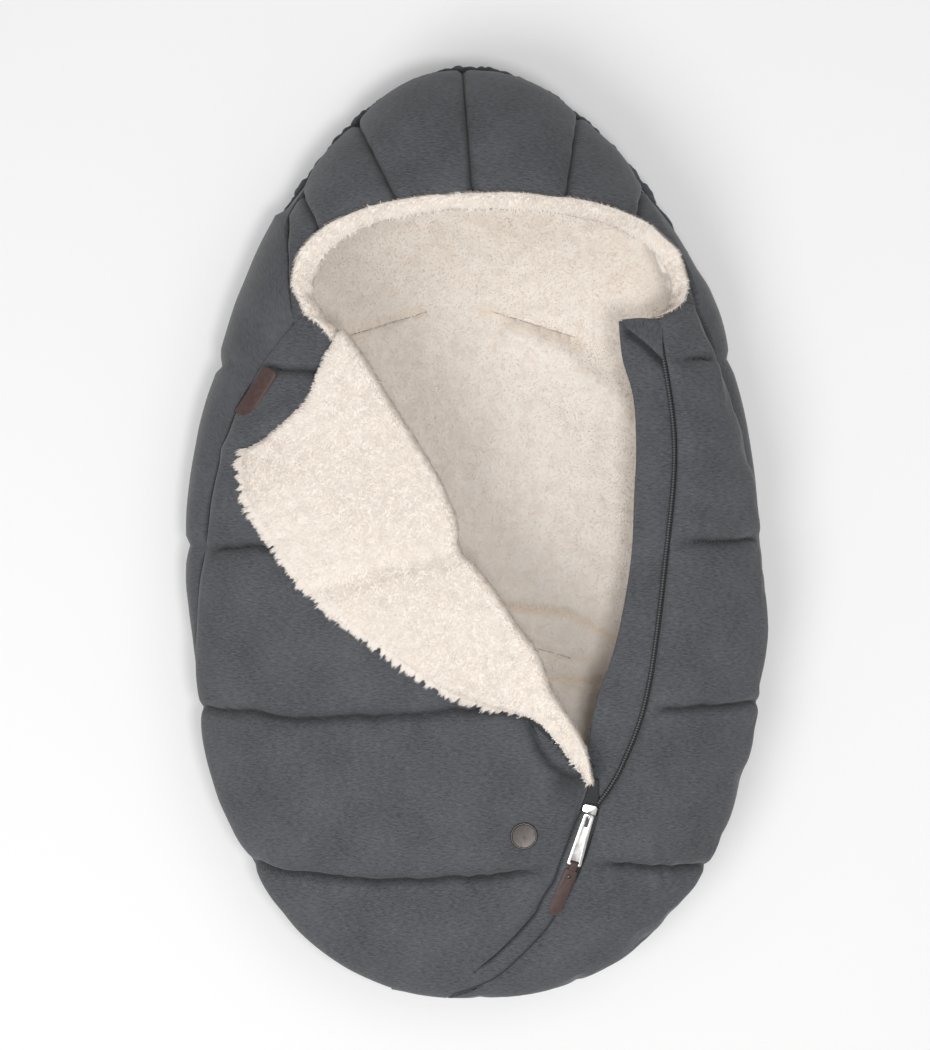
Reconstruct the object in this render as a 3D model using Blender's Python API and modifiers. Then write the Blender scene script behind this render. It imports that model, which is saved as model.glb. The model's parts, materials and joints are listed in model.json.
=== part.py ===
"""Car seat footmuff: a quilted, fleece-lined muff that lies on its back.

Units are metres, +Z is up, +Y points to the hood and +X to the right of the wearer's view.
The origin is on the floor, under the middle of the muff's outline.

The muff is a nest of sewn layers. Every layer is a slab between two depths below one outer form:
an egg in plan, domed above the side seam and rounded off below it to a flat back.
"""
import math

import bmesh
import bpy
from mathutils import Matrix, Vector

# Outline of the muff in plan, an egg made of two half superellipses. Places on it are shares of
# the half width and of the head or foot length, and angles are those of the unit circle.
HALF_WIDTH = 0.2306
FOOT_LENGTH = 0.3290
HEAD_LENGTH = 0.4180
WIDEST_Y = -0.0480
FOOT_POWER = 2.25
HEAD_POWER = 1.85
HEAD_LEAN = -0.008

# Heights of the outer form
SEAM_HEIGHT = 0.045
BODY_RISE = 0.070
HOOD_RISE = 0.065
HOOD_RISE_START_Y = -0.200
HOOD_RISE_END_Y = 0.258
HOOD_RISE_POWER = 2.5
DOME_POWER = 2.4
FLOOR_POWER = 2.6
FLOOR_FLAT = 0.70

# Layers of the muff, from the outer fabric inwards
SHELL = 0.0015
WADDING = 0.0100
FLEECE = 0.0060
GAP = 0.0003
LAYER_GAP = 0.0009
SEAM_ALLOWANCE = 0.014
LAYER_INSET = 0.0015

# Side seam between the covers and the back: angle in degrees, share of the outline
SEAM_SHARE = 0.985
SEAM_GAP_SHARE = 0.0012
SEAM_GAP_ANGLE = 0.05
LEFT_SEAM = ((131.5, 0.985), (137.3, 0.892), (141.2, 0.826), (149.4, 0.874),
             (158.2, 0.92), (168.0, 0.943), (176.7, 0.965), (191.4, 0.985))
RIGHT_SEAM = ((8.4, 0.985), (27.2, 0.972), (35.1, 0.957), (39.3, 0.974),
              (51.1, 0.985))
LEFT_CORNER_ANGLE = 141.2
RIGHT_CORNER_ANGLE = 35.1
ZIP_FOOT_ANGLE = -97.1

# Angles of the side seam that the covers' corners at the zip and the fold run out to
LEFT_FOLD_ANGLE = 190.6
LEFT_ZIP_ANGLE = 196.2
RIGHT_ZIP_ANGLE = -22.0
WADDING_END_ANGLE = 12.0
LINING_END_ANGLE = 17.0
LEFT_END_SHARE = 0.3333

# Hood opening, a superellipse arch, and the gore seams that run from it to the back edge
RIM_CENTRE = (0.0434, 0.5694)
RIM_HALF_WIDTH = 0.6635
RIM_RISE = 0.1703
RIM_POWER = 2.4
RIM_LEFT_END = (-0.5733, 0.5205)
RIM_RIGHT_END = (0.6895, 0.5455)
RIM_STRAIGHT = 0.08
RIM_FOCUS = (0.0486, 0.4019)
RIM_BAND_WIDTH = 0.013
RIM_BAND_PROUD = 0.002
RIM_BAND_GAP = 0.0014
GORE_NAMES = ("left_side", "left_outer", "left_inner", "right_inner", "right_outer", "right_side")
GORE_SEAMS = ((128.2, 0.224), (114.0, 0.385), (91.3, 0.483), (67.6, 0.585),
              (52.4, 0.711))

# Fold of the flap, straight in plan
FOLD_TOP = (-0.4909, 0.4880)
FOLD_FOOT = (0.3833, -0.4486)
FOLD_CLEARANCE = 0.0005
FOLD_RELIEF_ANGLE = 20.0
FLAP_ZIP_EDGE = ((-0.8101, 0.2651), (-0.7997, 0.1732), (-0.6193, 0.0258), (-0.3070, -0.1447),
                 (0.0156, -0.2687), (0.2134, -0.3198), (0.3469, -0.4498))
FLAP_LIFT = 0.0008
FLAP_WADDING = 0.0040
FLAP_SHELL_INSET = 0.005
FLAP_SHELL_WAY = 0.97
FLAP_WADDING_WAY = 0.84
FLAP_TAPE_START = 0.02
FLAP_TAPE_WAY = 0.90
FLAP_TAPE_WIDTH = 0.0090

# Right-hand zip edge of the opening, from the neck to the slider, and the strip beneath it
RIGHT_EDGE = ((0.6158, 0.5139), (0.6782, 0.2880), (0.6505, 0.0679), (0.5880, -0.2419),
              (0.4978, -0.4243), (0.4146, -0.5167))
UNDERLAP_EDGE = ((0.4840, 0.5177), (0.5360, 0.2689), (0.5221, 0.0775), (0.4597, -0.1447),
                 (0.4163, -0.2492), (0.4271, -0.3526))
UNDERLAP = 0.0040
UNDERLAP_END = 0.76
UNDERLAP_SEWN = 0.009
TAPE = 0.0008
TAPE_WIDTH = 0.0110
COIL_RADIUS = 0.0011
COIL_INSET = 0.0045
RIGHT_ZIP_START = 0.01
RIGHT_ZIP_END = 0.975

# Closed zip, on the circle through three places; lengths of travel are degrees round it
SLIDER_PLACE = (0.3738, -0.5353)
ZIP_MIDDLE = (0.2507, -0.7523)
ZIP_STOP_PLACE = (0.0234, -0.9234)
ZIP_DEPTH = 0.0022
COVER_END_TRAVEL = 45.0
CHANNEL_HALF_WIDTH = 0.0079
CHAIN_HALF_WIDTH = 0.0068
CHAIN_THICKNESS = 0.0024
FLY_HALF_WIDTH = 0.0070
FLY_THICKNESS = 0.0010
FLY_TAIL = 1.6
STOP_LENGTH = 0.0030
STOP_HALF_WIDTH = 0.0040
STOP_PROUD = 0.0006

# Slider, puller and leather pull
SLIDER_LENGTH = 0.0160
SLIDER_MOUTH_WIDTH = 0.0118
SLIDER_TAIL_WIDTH = 0.0092
SLIDER_PLATE = 0.0012
SLIDER_THROAT = 0.0030
SLIDER_FLANGE = 0.0009
SLIDER_POST_WIDTH = 0.0030
SLIDER_POST_TAIL = 0.0010
SLIDER_POST_LENGTH = 0.0045
SLIDER_POST_CORNER = 0.0004
SLIDER_CORNER = 0.0016
CROWN_RADIUS = 0.0026
CROWN_WIRE = 0.0008
CROWN_LEG = 0.0018
ARCH_STEPS = 8
PULLER_LENGTH = 0.0420
PULLER_HEAD_WIDTH = 0.0080
PULLER_TAIL_WIDTH = 0.0116
PULLER_THICKNESS = 0.0016
PULLER_BAR = 0.0016
PULLER_CORNER = 0.0010
PULLER_EYE_LENGTH = 0.0085
PULLER_EYE_WIDTH = 0.0030
PULLER_EYE_CORNER = 0.0007
PULLER_YAW = 5.7
TAB_SLOT_WIDTH = 0.0070
TAB_SLOT_LENGTH = 0.0024
TAB_SLOT_CORNER = 0.0004
TAB_BAR = 0.0014
TAB_LENGTH = 0.0440
TAB_WIDTH = 0.0100
TAB_LEATHER = 0.0012
TAB_LOOP_RADIUS = 0.0015
TAB_CORNER = 0.0012
TAB_TIP_HALF_WIDTH = 0.0017
TAB_YAW = 4.0
RIVET_RADIUS = 0.0016
RIVET_HEAD = 0.0006
RIVET_HEAD_FLAT = 0.0011
RIVET_SHANK = 0.0008
RIVET_PLACE = 0.0105
REST_CLEARANCE = 0.0005
REST_SWING = 30.0
REST_POINTS = 32
REST_STEP = 0.25

# Round badge and leather side tag
BADGE_PLACE = (0.1544, -0.5848)
BADGE_RADIUS = 0.0108
BADGE_THICKNESS = 0.0018
BADGE_RIM = 0.0012
BADGE_DISH = 0.0005
BADGE_POST_RADIUS = 0.0020
BADGE_POST_LENGTH = 0.0045
BADGE_POCKET = 0.0008
BADGE_WASHER_RADIUS = 0.0060
BADGE_WASHER = 0.0010
TAG_CORNERS = ((-0.7303, 0.4258), (-0.6817, 0.4010), (-0.7858, 0.3206), (-0.8343, 0.3407))
TAG_THICKNESS = 0.0018
TAG_LIFT = 0.0006

# Harness slots through the back: centre, length, width, tilt in degrees, bow
SLOTS = {
    "left_shoulder_slot": ((-0.3252, 0.5144), 0.070, 0.012, 17.0, 0.0),
    "right_shoulder_slot": ((0.1951, 0.5144), 0.070, 0.012, -17.0, 0.0),
    "seat_slot": ((-0.0217, -0.1277), 0.160, 0.016, 0.0, 0.014),
}
BINDING = 0.0015
BINDING_LIFT = 0.0030
BINDING_PROUD = 0.0015
CUT_DEPTH = 0.080

# Elasticated hem behind the hood
HEM_RADIUS = 0.0033
HEM_HEIGHT = 0.042
HEM_ANGLES = (35.2, 144.8)

# Columns and rows of the layered slabs
BACK_COLUMNS = 48
DOME_ROWS = 6
SIDE_ROWS = 2
FLAP_COLUMNS = 14
UNDERLAP_COLUMNS = 14
TAG_COLUMNS = 4
COIL_STEPS = 22
SLOT_STEPS = 8
TURN_STEPS = 24
RIVET_STEPS = 12
ZIP_STEP = 4.0
WELD = 0.00001
FLOOR_SHARES = (0.40, 0.70, 0.86, 0.95, 0.99)

COLLECTION = "footmuff"
CUTTERS = "cutters"
FABRIC = ("grey_fabric", (0.105, 0.112, 0.122), 0.9, 0.0)
FLEECE_CLOTH = ("cream_fleece", (0.760, 0.690, 0.610), 1.0, 0.0)
FILLING = ("white_wadding", (0.850, 0.850, 0.840), 1.0, 0.0)
LEATHER = ("brown_leather", (0.125, 0.075, 0.070), 0.55, 0.0)
NICKEL = ("bright_nickel", (0.720, 0.700, 0.680), 0.22, 1.0)
GUNMETAL = ("gunmetal", (0.240, 0.215, 0.205), 0.38, 1.0)
ZIP_BLACK = ("zip_black", (0.020, 0.021, 0.024), 0.5, 0.0)


# Scene and materials

def clear_scene():
    for item in list(bpy.data.objects):
        bpy.data.objects.remove(item, do_unlink=True)


def new_collection(name):
    group = bpy.data.collections.new(name)
    bpy.context.scene.collection.children.link(group)
    return group


def material(recipe):
    name, colour, roughness, metallic = recipe
    found = bpy.data.materials.get(name)
    if found:
        return found
    made = bpy.data.materials.new(name)
    made.use_nodes = True
    shader = made.node_tree.nodes["Principled BSDF"]
    shader.inputs["Base Color"].default_value = (*colour, 1.0)
    shader.inputs["Roughness"].default_value = roughness
    shader.inputs["Metallic"].default_value = metallic
    made.diffuse_color = (*colour, 1.0)
    return made


def add_object(name, mesh, recipe, group):
    item = bpy.data.objects.new(name, mesh)
    group.objects.link(item)
    mesh.materials.append(material(recipe))
    return item


def mesh_object(name, bm, recipe, group):
    bmesh.ops.recalc_face_normals(bm, faces=bm.faces)
    mesh = bpy.data.meshes.new(name)
    bm.to_mesh(mesh)
    bm.free()
    return add_object(name, mesh, recipe, group)


def empty(name, matrix, group, parent=None):
    item = bpy.data.objects.new(name, None)
    item.empty_display_size = 0.02
    group.objects.link(item)
    item.matrix_world = matrix
    if parent:
        hang(item, parent, matrix)
    return item


def hang(item, parent, matrix):
    """Parent an object and keep the world place that the matrix gives."""
    bpy.context.view_layer.update()
    item.parent = parent
    item.matrix_parent_inverse = parent.matrix_world.inverted()
    item.matrix_world = matrix


# The outer form

def plan_power(y):
    return HEAD_POWER if y > WIDEST_Y else FOOT_POWER


def half_length(y):
    return HEAD_LENGTH if y > WIDEST_Y else FOOT_LENGTH


def lean(y):
    """Sideways shift of the middle line towards the head."""
    way = max(0.0, (y - WIDEST_Y) / HEAD_LENGTH)
    return HEAD_LEAN * way * way


def place(shares):
    """Point in plan from its shares of the half width and of the length on its side."""
    across, along = shares
    return (across * HALF_WIDTH, WIDEST_Y + along * half_length(WIDEST_Y + along))


def plan_point(angle, share, depth):
    """Point in plan at a share of the outline that lies depth inside.

    The angle is the one seen when the outline is squeezed to a unit circle.
    """
    turn = math.radians(angle)
    across = math.cos(turn)
    along = math.sin(turn)
    power = plan_power(WIDEST_Y + along)
    radius = share / (abs(across) ** power + abs(along) ** power) ** (1 / power)
    y = WIDEST_Y + radius * along * (half_length(WIDEST_Y + along) - depth)
    return (radius * across * (HALF_WIDTH - depth) + lean(y), y)


def outline_share(x, y, depth):
    """How far out a point in plan lies, from 0 at the centre to 1 on the outline."""
    power = plan_power(y)
    across = abs(x - lean(y)) / (HALF_WIDTH - depth)
    along = abs(y - WIDEST_Y) / (half_length(y) - depth)
    return (across ** power + along ** power) ** (1 / power)


def sink(point, depth):
    """Where a point of the outer surface comes to lie in plan, carried to a depth."""
    x, y = point
    along = (y - WIDEST_Y) / half_length(y)
    angle = math.degrees(math.atan2(along, (x - lean(y)) / HALF_WIDTH))
    return plan_point(angle, outline_share(x, y, 0.0), depth)


def rise(y):
    """Height of the dome above the side seam, greatest at the hood's rim."""
    way = (y - HOOD_RISE_START_Y) / (HOOD_RISE_END_Y - HOOD_RISE_START_Y)
    return BODY_RISE + HOOD_RISE * min(max(way, 0.0), 1.0) ** HOOD_RISE_POWER


def dome(x, y, depth):
    """Height of the outer form above the floor, depth below its surface."""
    fall = max(0.0, 1 - outline_share(x, y, depth) ** DOME_POWER)
    return SEAM_HEIGHT + (rise(y) - depth) * fall ** (1 / DOME_POWER)


def on_dome(point, depth):
    return Vector((point[0], point[1], dome(point[0], point[1], depth)))


def floor_height(share, depth):
    """Height of the back's underside, rounded up to the side seam."""
    way = min(max(0.0, share - FLOOR_FLAT) / (1 - FLOOR_FLAT), 1.0)
    drop = (1 - way ** FLOOR_POWER) ** (1 / FLOOR_POWER)
    return SEAM_HEIGHT - (SEAM_HEIGHT - depth) * drop


def dome_normal(point):
    step = 0.002
    x, y = point
    slope_x = (dome(x + step, y, 0) - dome(x - step, y, 0)) / (2 * step)
    slope_y = (dome(x, y + step, 0) - dome(x, y - step, 0)) / (2 * step)
    return Vector((-slope_x, -slope_y, 1)).normalized()


# Curves in plan

def blend(a, b, way):
    return (a[0] + (b[0] - a[0]) * way, a[1] + (b[1] - a[1]) * way)


def shift_along(point, direction, distance):
    return (point[0] + direction[0] * distance, point[1] + direction[1] * distance)


def smooth_curve(points, way):
    """Point on a Catmull-Rom curve through the points, at a way from 0 to 1 by their count."""
    last = len(points) - 1
    spot = min(max(way, 0.0), 1.0) * last
    index = min(int(spot), last - 1)
    t = spot - index
    ring = [points[min(max(index + step, 0), last)] for step in (-1, 0, 1, 2)]
    result = []
    for axis in range(2):
        p0, p1, p2, p3 = (p[axis] for p in ring)
        value = 2 * p1 + (p2 - p0) * t
        value += (2 * p0 - 5 * p1 + 4 * p2 - p3) * t * t
        value += (3 * p1 - p0 - 3 * p2 + p3) * t ** 3
        result.append(value / 2)
    return tuple(result)


class ZipCircle:
    """The closed zip's true path: the circle through three points of it on the dome."""

    def __init__(self):
        start, middle, end = (on_dome(place(shares), ZIP_DEPTH)
                              for shares in (SLIDER_PLACE, ZIP_MIDDLE, ZIP_STOP_PLACE))
        a = middle - start
        b = end - start
        normal = a.cross(b)
        across = b.length_squared * normal.cross(a) + a.length_squared * b.cross(normal)
        self.centre = start + across / (2 * normal.length_squared)
        self.normal = normal.normalized()
        if self.normal.z < 0:
            self.normal.negate()
        self.start = start - self.centre
        self.radius = self.start.length
        self.sweep = math.degrees(self.start.angle(end - self.centre))
        frame = self.frame(self.sweep / 2, 0.0)
        up = dome_normal((middle.x, middle.y))
        outward = frame.col[0].to_3d()
        self.bank = math.atan2(up.dot(outward), up.dot(self.normal))

    def point(self, angle):
        return self.centre + Matrix.Rotation(-math.radians(angle), 3, self.normal) @ self.start

    def frame(self, angle, bank=None):
        """Axes at an angle of travel: X across and outward, Y back up the zip, Z off the surface."""
        outward = (self.point(angle) - self.centre).normalized()
        back = self.normal.cross(outward)
        turn = Matrix.Rotation(self.bank if bank is None else bank, 3, back)
        across = turn @ outward
        up = turn @ self.normal
        matrix = Matrix((across, back, up)).transposed().to_4x4()
        matrix.translation = self.point(angle)
        return matrix

    def travel(self, spot):
        """Angle of travel, in degrees, of the spot on the path that is nearest to a point."""
        arm = spot - self.centre
        along = -self.normal.cross(self.start)
        return math.degrees(math.atan2(arm.dot(along), arm.dot(self.start)))

    def beside(self, angle, offset):
        """Point in plan beside the path, outward where the offset is positive."""
        spot = self.point(angle)
        run = (self.point(angle + 0.5) - self.point(angle - 0.5)).to_2d().normalized()
        return (spot.x - run.y * offset, spot.y + run.x * offset)


def seam_share(angle):
    """Share of the outline at which the side seam runs."""
    angle = (angle + 90) % 360 - 90
    for table in (LEFT_SEAM, RIGHT_SEAM):
        for (start, low), (end, high) in zip(table, table[1:]):
            if start <= angle <= end:
                return low + (high - low) * (angle - start) / (end - start)
    return SEAM_SHARE


def ring_angles():
    """Angles of every column that meets the side seam, from the foot round to the foot."""
    step = 360 / BACK_COLUMNS
    special = [angle for angle, way in GORE_SEAMS] + [LEFT_CORNER_ANGLE, RIGHT_CORNER_ANGLE]
    special.append(ZIP_FOOT_ANGLE)
    regular = [step * index - 90 for index in range(BACK_COLUMNS)]
    kept = [angle for angle in regular if all(abs(angle - other) > step / 4 for other in special)]
    return sorted(kept + special)


def angles_between(first, last):
    """Ring angles from first to last, in that order, ends included."""
    low, high = min(first, last), max(first, last)
    turns = (-360, 0, 360)
    inner = sorted(angle + turn for angle in ring_angles() for turn in turns
                   if low + 0.5 < angle + turn < high - 0.5)
    chosen = [low] + inner + [high]
    return chosen if first < last else chosen[::-1]


def fold_point(way, inset):
    """Point of the fold line from the neck at 0 to the slider at 1, inset to the cover's side."""
    top, foot = place(FOLD_TOP), place(FOLD_FOOT)
    run = Vector((foot[0] - top[0], foot[1] - top[1])).normalized()
    return shift_along(blend(top, foot, way), (run.y, -run.x), inset)


def rim_point(way):
    """Hood opening from its left end at 0 to its right end at 1."""
    left = (RIM_CENTRE[0] - RIM_HALF_WIDTH, RIM_CENTRE[1])
    right = (RIM_CENTRE[0] + RIM_HALF_WIDTH, RIM_CENTRE[1])
    if way < RIM_STRAIGHT:
        return place(blend(RIM_LEFT_END, left, way / RIM_STRAIGHT))
    if way > 1 - RIM_STRAIGHT:
        return place(blend(right, RIM_RIGHT_END, (way - 1 + RIM_STRAIGHT) / RIM_STRAIGHT))
    turn = math.pi * (1 - (way - RIM_STRAIGHT) / (1 - 2 * RIM_STRAIGHT))
    flat = 2 / RIM_POWER
    across = math.copysign(abs(math.cos(turn)) ** flat, math.cos(turn))
    return place((RIM_CENTRE[0] + RIM_HALF_WIDTH * across,
                  RIM_CENTRE[1] + RIM_RISE * abs(math.sin(turn)) ** flat))


def rim_inset(way, distance):
    """Point of the hood opening moved towards the middle of the opening."""
    point = rim_point(way)
    focus = place(RIM_FOCUS)
    run = Vector((focus[0] - point[0], focus[1] - point[1])).normalized()
    return shift_along(point, run, distance)


def edge_offset(shares, way, offset):
    """Point of a smooth curve through shares of the outline, moved to the right of its travel."""
    points = [place(pair) for pair in shares]
    before = smooth_curve(points, way - 0.01)
    after = smooth_curve(points, way + 0.01)
    run = Vector((after[0] - before[0], after[1] - before[1])).normalized()
    return shift_along(smooth_curve(points, way), (run.y, -run.x), offset)


# Slabs: closed solids between an upper and a lower grid of points

def slab_mesh(upper, lower, closed=False):
    """Closed solid between two equal grids, given as lists of columns.

    A closed slab runs round to its first column, and its first row is capped by one face.
    """
    bm = bmesh.new()
    grids = [[[bm.verts.new(point) for point in column] for column in grid]
             for grid in (upper, lower)]
    count = len(upper)
    pairs = [(index, (index + 1) % count) for index in range(count if closed else count - 1)]
    for grid in grids:
        for left, right in pairs:
            for row in range(len(grid[0]) - 1):
                bm.faces.new((grid[left][row], grid[left][row + 1],
                              grid[right][row + 1], grid[right][row]))
    top, bottom = grids
    for row in ((-1,) if closed else (0, -1)):
        for left, right in pairs:
            bm.faces.new((top[left][row], top[right][row], bottom[right][row], bottom[left][row]))
    if closed:
        bm.faces.new([column[0] for column in top])
        bm.faces.new([column[0] for column in bottom])
    else:
        for column in (0, -1):
            for row in range(len(top[0]) - 1):
                bm.faces.new((top[column][row], top[column][row + 1],
                              bottom[column][row + 1], bottom[column][row]))
    return bm


def dome_column(inner, outer, depth, rows=DOME_ROWS):
    """Points on the dome from an inner to an outer place, closer together towards the outer one."""
    ways = [math.sin(0.5 * math.pi * row / rows) for row in range(rows + 1)]
    return [on_dome(blend(inner, outer, way), depth) for way in ways]


def cover_layer(name, edge, angles, depths, recipe, group):
    """Layer of a cover or gore; edge(angle, depth) gives its free edge in plan."""
    grids = []
    for depth in depths:
        grid = []
        for angle in angles:
            outer = plan_point(angle, seam_share(angle) - SEAM_GAP_SHARE, depth)
            grid.append(dome_column(edge(angle, depth), outer, depth))
        grids.append(grid)
    return mesh_object(name, slab_mesh(*grids), recipe, group)


def layer_depths(thicknesses, start=0.0, way=1):
    """Upper and lower depth of each layer of a stack that starts at a depth."""
    depths = []
    top = start
    for thickness in thicknesses:
        depths.append((top, top + way * thickness))
        top += way * (thickness + LAYER_GAP)
    return depths


LAYERS = layer_depths((SHELL, WADDING, FLEECE))
LINING_BOTTOM = LAYERS[2][1]


# Covers and hood

def relief(depth):
    """How far a cover's edge draws back below the surface, to clear the flap as it closes."""
    return FOLD_CLEARANCE + depth * math.tan(math.radians(FOLD_RELIEF_ANGLE))


def left_edge(circle, zip_inset, fold_inset):
    """Free edge of the left cover: up the closed zip, then along the fold to the neck."""
    foot = ZIP_FOOT_ANGLE + 360

    def edge(angle, depth):
        if angle >= LEFT_ZIP_ANGLE:
            travel = COVER_END_TRAVEL * (angle - LEFT_ZIP_ANGLE) / (foot - LEFT_ZIP_ANGLE)
            return circle.beside(travel, -CHANNEL_HALF_WIDTH - zip_inset - relief(depth))
        way = (angle - LEFT_CORNER_ANGLE) / (LEFT_FOLD_ANGLE - LEFT_CORNER_ANGLE)
        return fold_point(min(way, 1.0), fold_inset + relief(depth))
    return edge


def right_edge(circle, zip_inset):
    """Free edge of the right cover: up the closed zip, then up the open zip to the neck."""
    def edge(angle, depth):
        if angle <= RIGHT_ZIP_ANGLE:
            travel = COVER_END_TRAVEL * (RIGHT_ZIP_ANGLE - angle) / (RIGHT_ZIP_ANGLE - ZIP_FOOT_ANGLE)
            return sink(circle.beside(travel, CHANNEL_HALF_WIDTH + zip_inset + depth), depth)
        way = (RIGHT_CORNER_ANGLE - angle) / (RIGHT_CORNER_ANGLE - RIGHT_ZIP_ANGLE)
        return sink(edge_offset(RIGHT_EDGE, way, -zip_inset), depth)
    return edge


def add_covers(circle, group):
    stack = (("shell", FABRIC, 0.0, 0.0, 0.0),
             ("wadding", FILLING, SEAM_ALLOWANCE, LAYER_INSET, WADDING_END_ANGLE),
             ("lining", FLEECE_CLOTH, LAYER_INSET, LAYER_INSET, LINING_END_ANGLE))
    made = {}
    for (layer, recipe, zip_inset, fold_inset, short), depths in zip(stack, LAYERS):
        foot = ZIP_FOOT_ANGLE + 360 - SEAM_GAP_ANGLE - short * LEFT_END_SHARE
        angles = angles_between(foot, LEFT_CORNER_ANGLE + SEAM_GAP_ANGLE)
        edge = left_edge(circle, zip_inset, fold_inset)
        name = "left_cover_" + layer
        made[name] = cover_layer(name, edge, angles, depths, recipe, group)
        foot = ZIP_FOOT_ANGLE + SEAM_GAP_ANGLE + short
        angles = angles_between(foot, RIGHT_CORNER_ANGLE - SEAM_GAP_ANGLE)
        name = "right_cover_" + layer
        made[name] = cover_layer(name, right_edge(circle, zip_inset), angles, depths, recipe, group)
    return made


def hood_edge(stations, inset):
    """Free edge of the hood over the rim, between stations of angle and way along the rim."""
    def edge(angle, depth):
        for (start, first), (end, last) in zip(stations, stations[1:]):
            if end <= angle <= start:
                way = first + (last - first) * (start - angle) / (start - end)
                return sink(rim_inset(way, -inset), depth)
        return sink(rim_inset(1.0, -inset), depth)
    return edge


def add_hood(group):
    left = (LEFT_CORNER_ANGLE, 0.0)
    right = (RIGHT_CORNER_ANGLE, 1.0)
    stations = (left, *GORE_SEAMS, right)
    for side, (start, first), (end, last) in zip(GORE_NAMES, stations, stations[1:]):
        angles = angles_between(start - SEAM_GAP_ANGLE, end + SEAM_GAP_ANGLE)
        cover_layer("hood_gore_" + side, hood_edge(stations, 0.0), angles, LAYERS[0], FABRIC, group)
    angles = angles_between(left[0] - SEAM_GAP_ANGLE, right[0] + SEAM_GAP_ANGLE)
    cover_layer("hood_wadding", hood_edge(stations, 0.0), angles, LAYERS[1], FILLING, group)
    cover_layer("hood_lining", hood_edge(stations, 0.0), angles, LAYERS[2], FLEECE_CLOTH, group)
    edges = [hood_edge(stations, -RIM_BAND_GAP - RIM_BAND_WIDTH * share) for share in (0.0, 0.5, 1.0)]
    grids = []
    for depth in (-RIM_BAND_PROUD, LINING_BOTTOM):
        grids.append([[on_dome(edge(angle, depth), depth) for edge in edges] for angle in angles])
    mesh_object("hood_rim_band", slab_mesh(*grids), FLEECE_CLOTH, group)
    points = []
    for angle in angles_between(*HEM_ANGLES):
        x, y = plan_point(angle, 1.0, -HEM_RADIUS - GAP)
        points.append((x, y, HEM_HEIGHT))
    tube("hood_elastic_hem", points, HEM_RADIUS, FABRIC, group)


# Back, with its harness slots

def back_column(angle, depth):
    """Points of the back from its flat middle, round the side and up to the side seam."""
    column = []
    for share in (*FLOOR_SHARES, 1.0):
        x, y = plan_point(angle, share, depth)
        column.append(Vector((x, y, floor_height(share, depth))))
    top = seam_share(angle) + SEAM_GAP_SHARE
    full = 0.5 * math.pi
    seam = math.asin(top ** (DOME_POWER / 2))
    for row in range(1, SIDE_ROWS + 1):
        share = math.sin(full + (seam - full) * row / SIDE_ROWS) ** (2 / DOME_POWER)
        column.append(on_dome(plan_point(angle, share, depth), depth))
    return column


def slot_outline(length, width, bow):
    """Closed outline of a round-ended slot whose middle stands proud of its ends by the bow."""
    half = (length - width) / 2
    points = []
    for side in (1, -1):
        for index in range(SLOT_STEPS + 1):
            x = side * half * (1 - 2 * index / SLOT_STEPS)
            points.append((x, side * width / 2 - bow * (x / half) ** 2))
        for index in (1, 2, 3):
            turn = math.pi * index / 4
            points.append((-side * (half + math.sin(turn) * width / 2),
                           side * math.cos(turn) * width / 2 - bow))
    return points


def slot_matrix(centre, tilt, height):
    return Matrix.Translation((*place(centre), height)) @ Matrix.Rotation(math.radians(tilt), 4, "Z")


def add_back(group, cutters):
    names = (("back_shell", FABRIC), ("back_wadding", FILLING), ("back_lining", FLEECE_CLOTH))
    angles = ring_angles()
    layers = []
    for (name, recipe), depths in zip(names, LAYERS):
        grids = [[back_column(angle, depth) for angle in angles] for depth in depths]
        layers.append(mesh_object(name, slab_mesh(*grids, closed=True), recipe, group))
    for name, (centre, length, width, tilt, bow) in SLOTS.items():
        cutter = flat_shape(name + "_cutter", [slot_outline(length, width, bow)],
                            CUT_DEPTH, FABRIC, cutters)
        cutter.matrix_world = slot_matrix(centre, tilt, 0.0)
        for layer in layers:
            boolean(layer, cutter, "DIFFERENCE")
        outer = slot_outline(length - 2 * GAP, width - 2 * GAP, bow)
        inner = slot_outline(length - 2 * (GAP + BINDING), width - 2 * (GAP + BINDING), bow)
        height = LINING_BOTTOM + BINDING_PROUD - BINDING_LIFT
        binding = flat_shape(name + "_binding", [outer, inner], height, FLEECE_CLOTH, group)
        binding.matrix_world = slot_matrix(centre, tilt, BINDING_LIFT + height / 2)


# Shared ways of making pieces

def boolean(item, operand, operation):
    change = item.modifiers.new(operand.name, "BOOLEAN")
    change.operation = operation
    change.object = operand
    change.solver = "EXACT"


def finish_cutter(item, group):
    if group.name == CUTTERS:
        item.hide_render = True
        item.display_type = "WIRE"
    return item


def curve_to_mesh(curve, name, recipe, group):
    """Turn a curve into a closed mesh object with welded caps."""
    guide = bpy.data.objects.new(name + "_curve", curve)
    group.objects.link(guide)
    graph = bpy.context.evaluated_depsgraph_get()
    mesh = bpy.data.meshes.new_from_object(guide.evaluated_get(graph))
    bpy.data.objects.remove(guide, do_unlink=True)
    bm = bmesh.new()
    bm.from_mesh(mesh)
    bmesh.ops.remove_doubles(bm, verts=bm.verts, dist=WELD)
    bpy.data.meshes.remove(mesh)
    return finish_cutter(mesh_object(name, bm, recipe, group), group)


def flat_shape(name, outlines, thickness, recipe, group):
    """Flat piece of even thickness about its own XY plane; later outlines are holes."""
    curve = bpy.data.curves.new(name, "CURVE")
    curve.dimensions = "2D"
    curve.fill_mode = "BOTH"
    curve.extrude = thickness / 2
    for outline in outlines:
        spline = curve.splines.new("POLY")
        spline.points.add(len(outline) - 1)
        for point, (x, y) in zip(spline.points, outline):
            point.co = (x, y, 0.0, 1.0)
        spline.use_cyclic_u = True
    return curve_to_mesh(curve, name, recipe, group)


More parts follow.
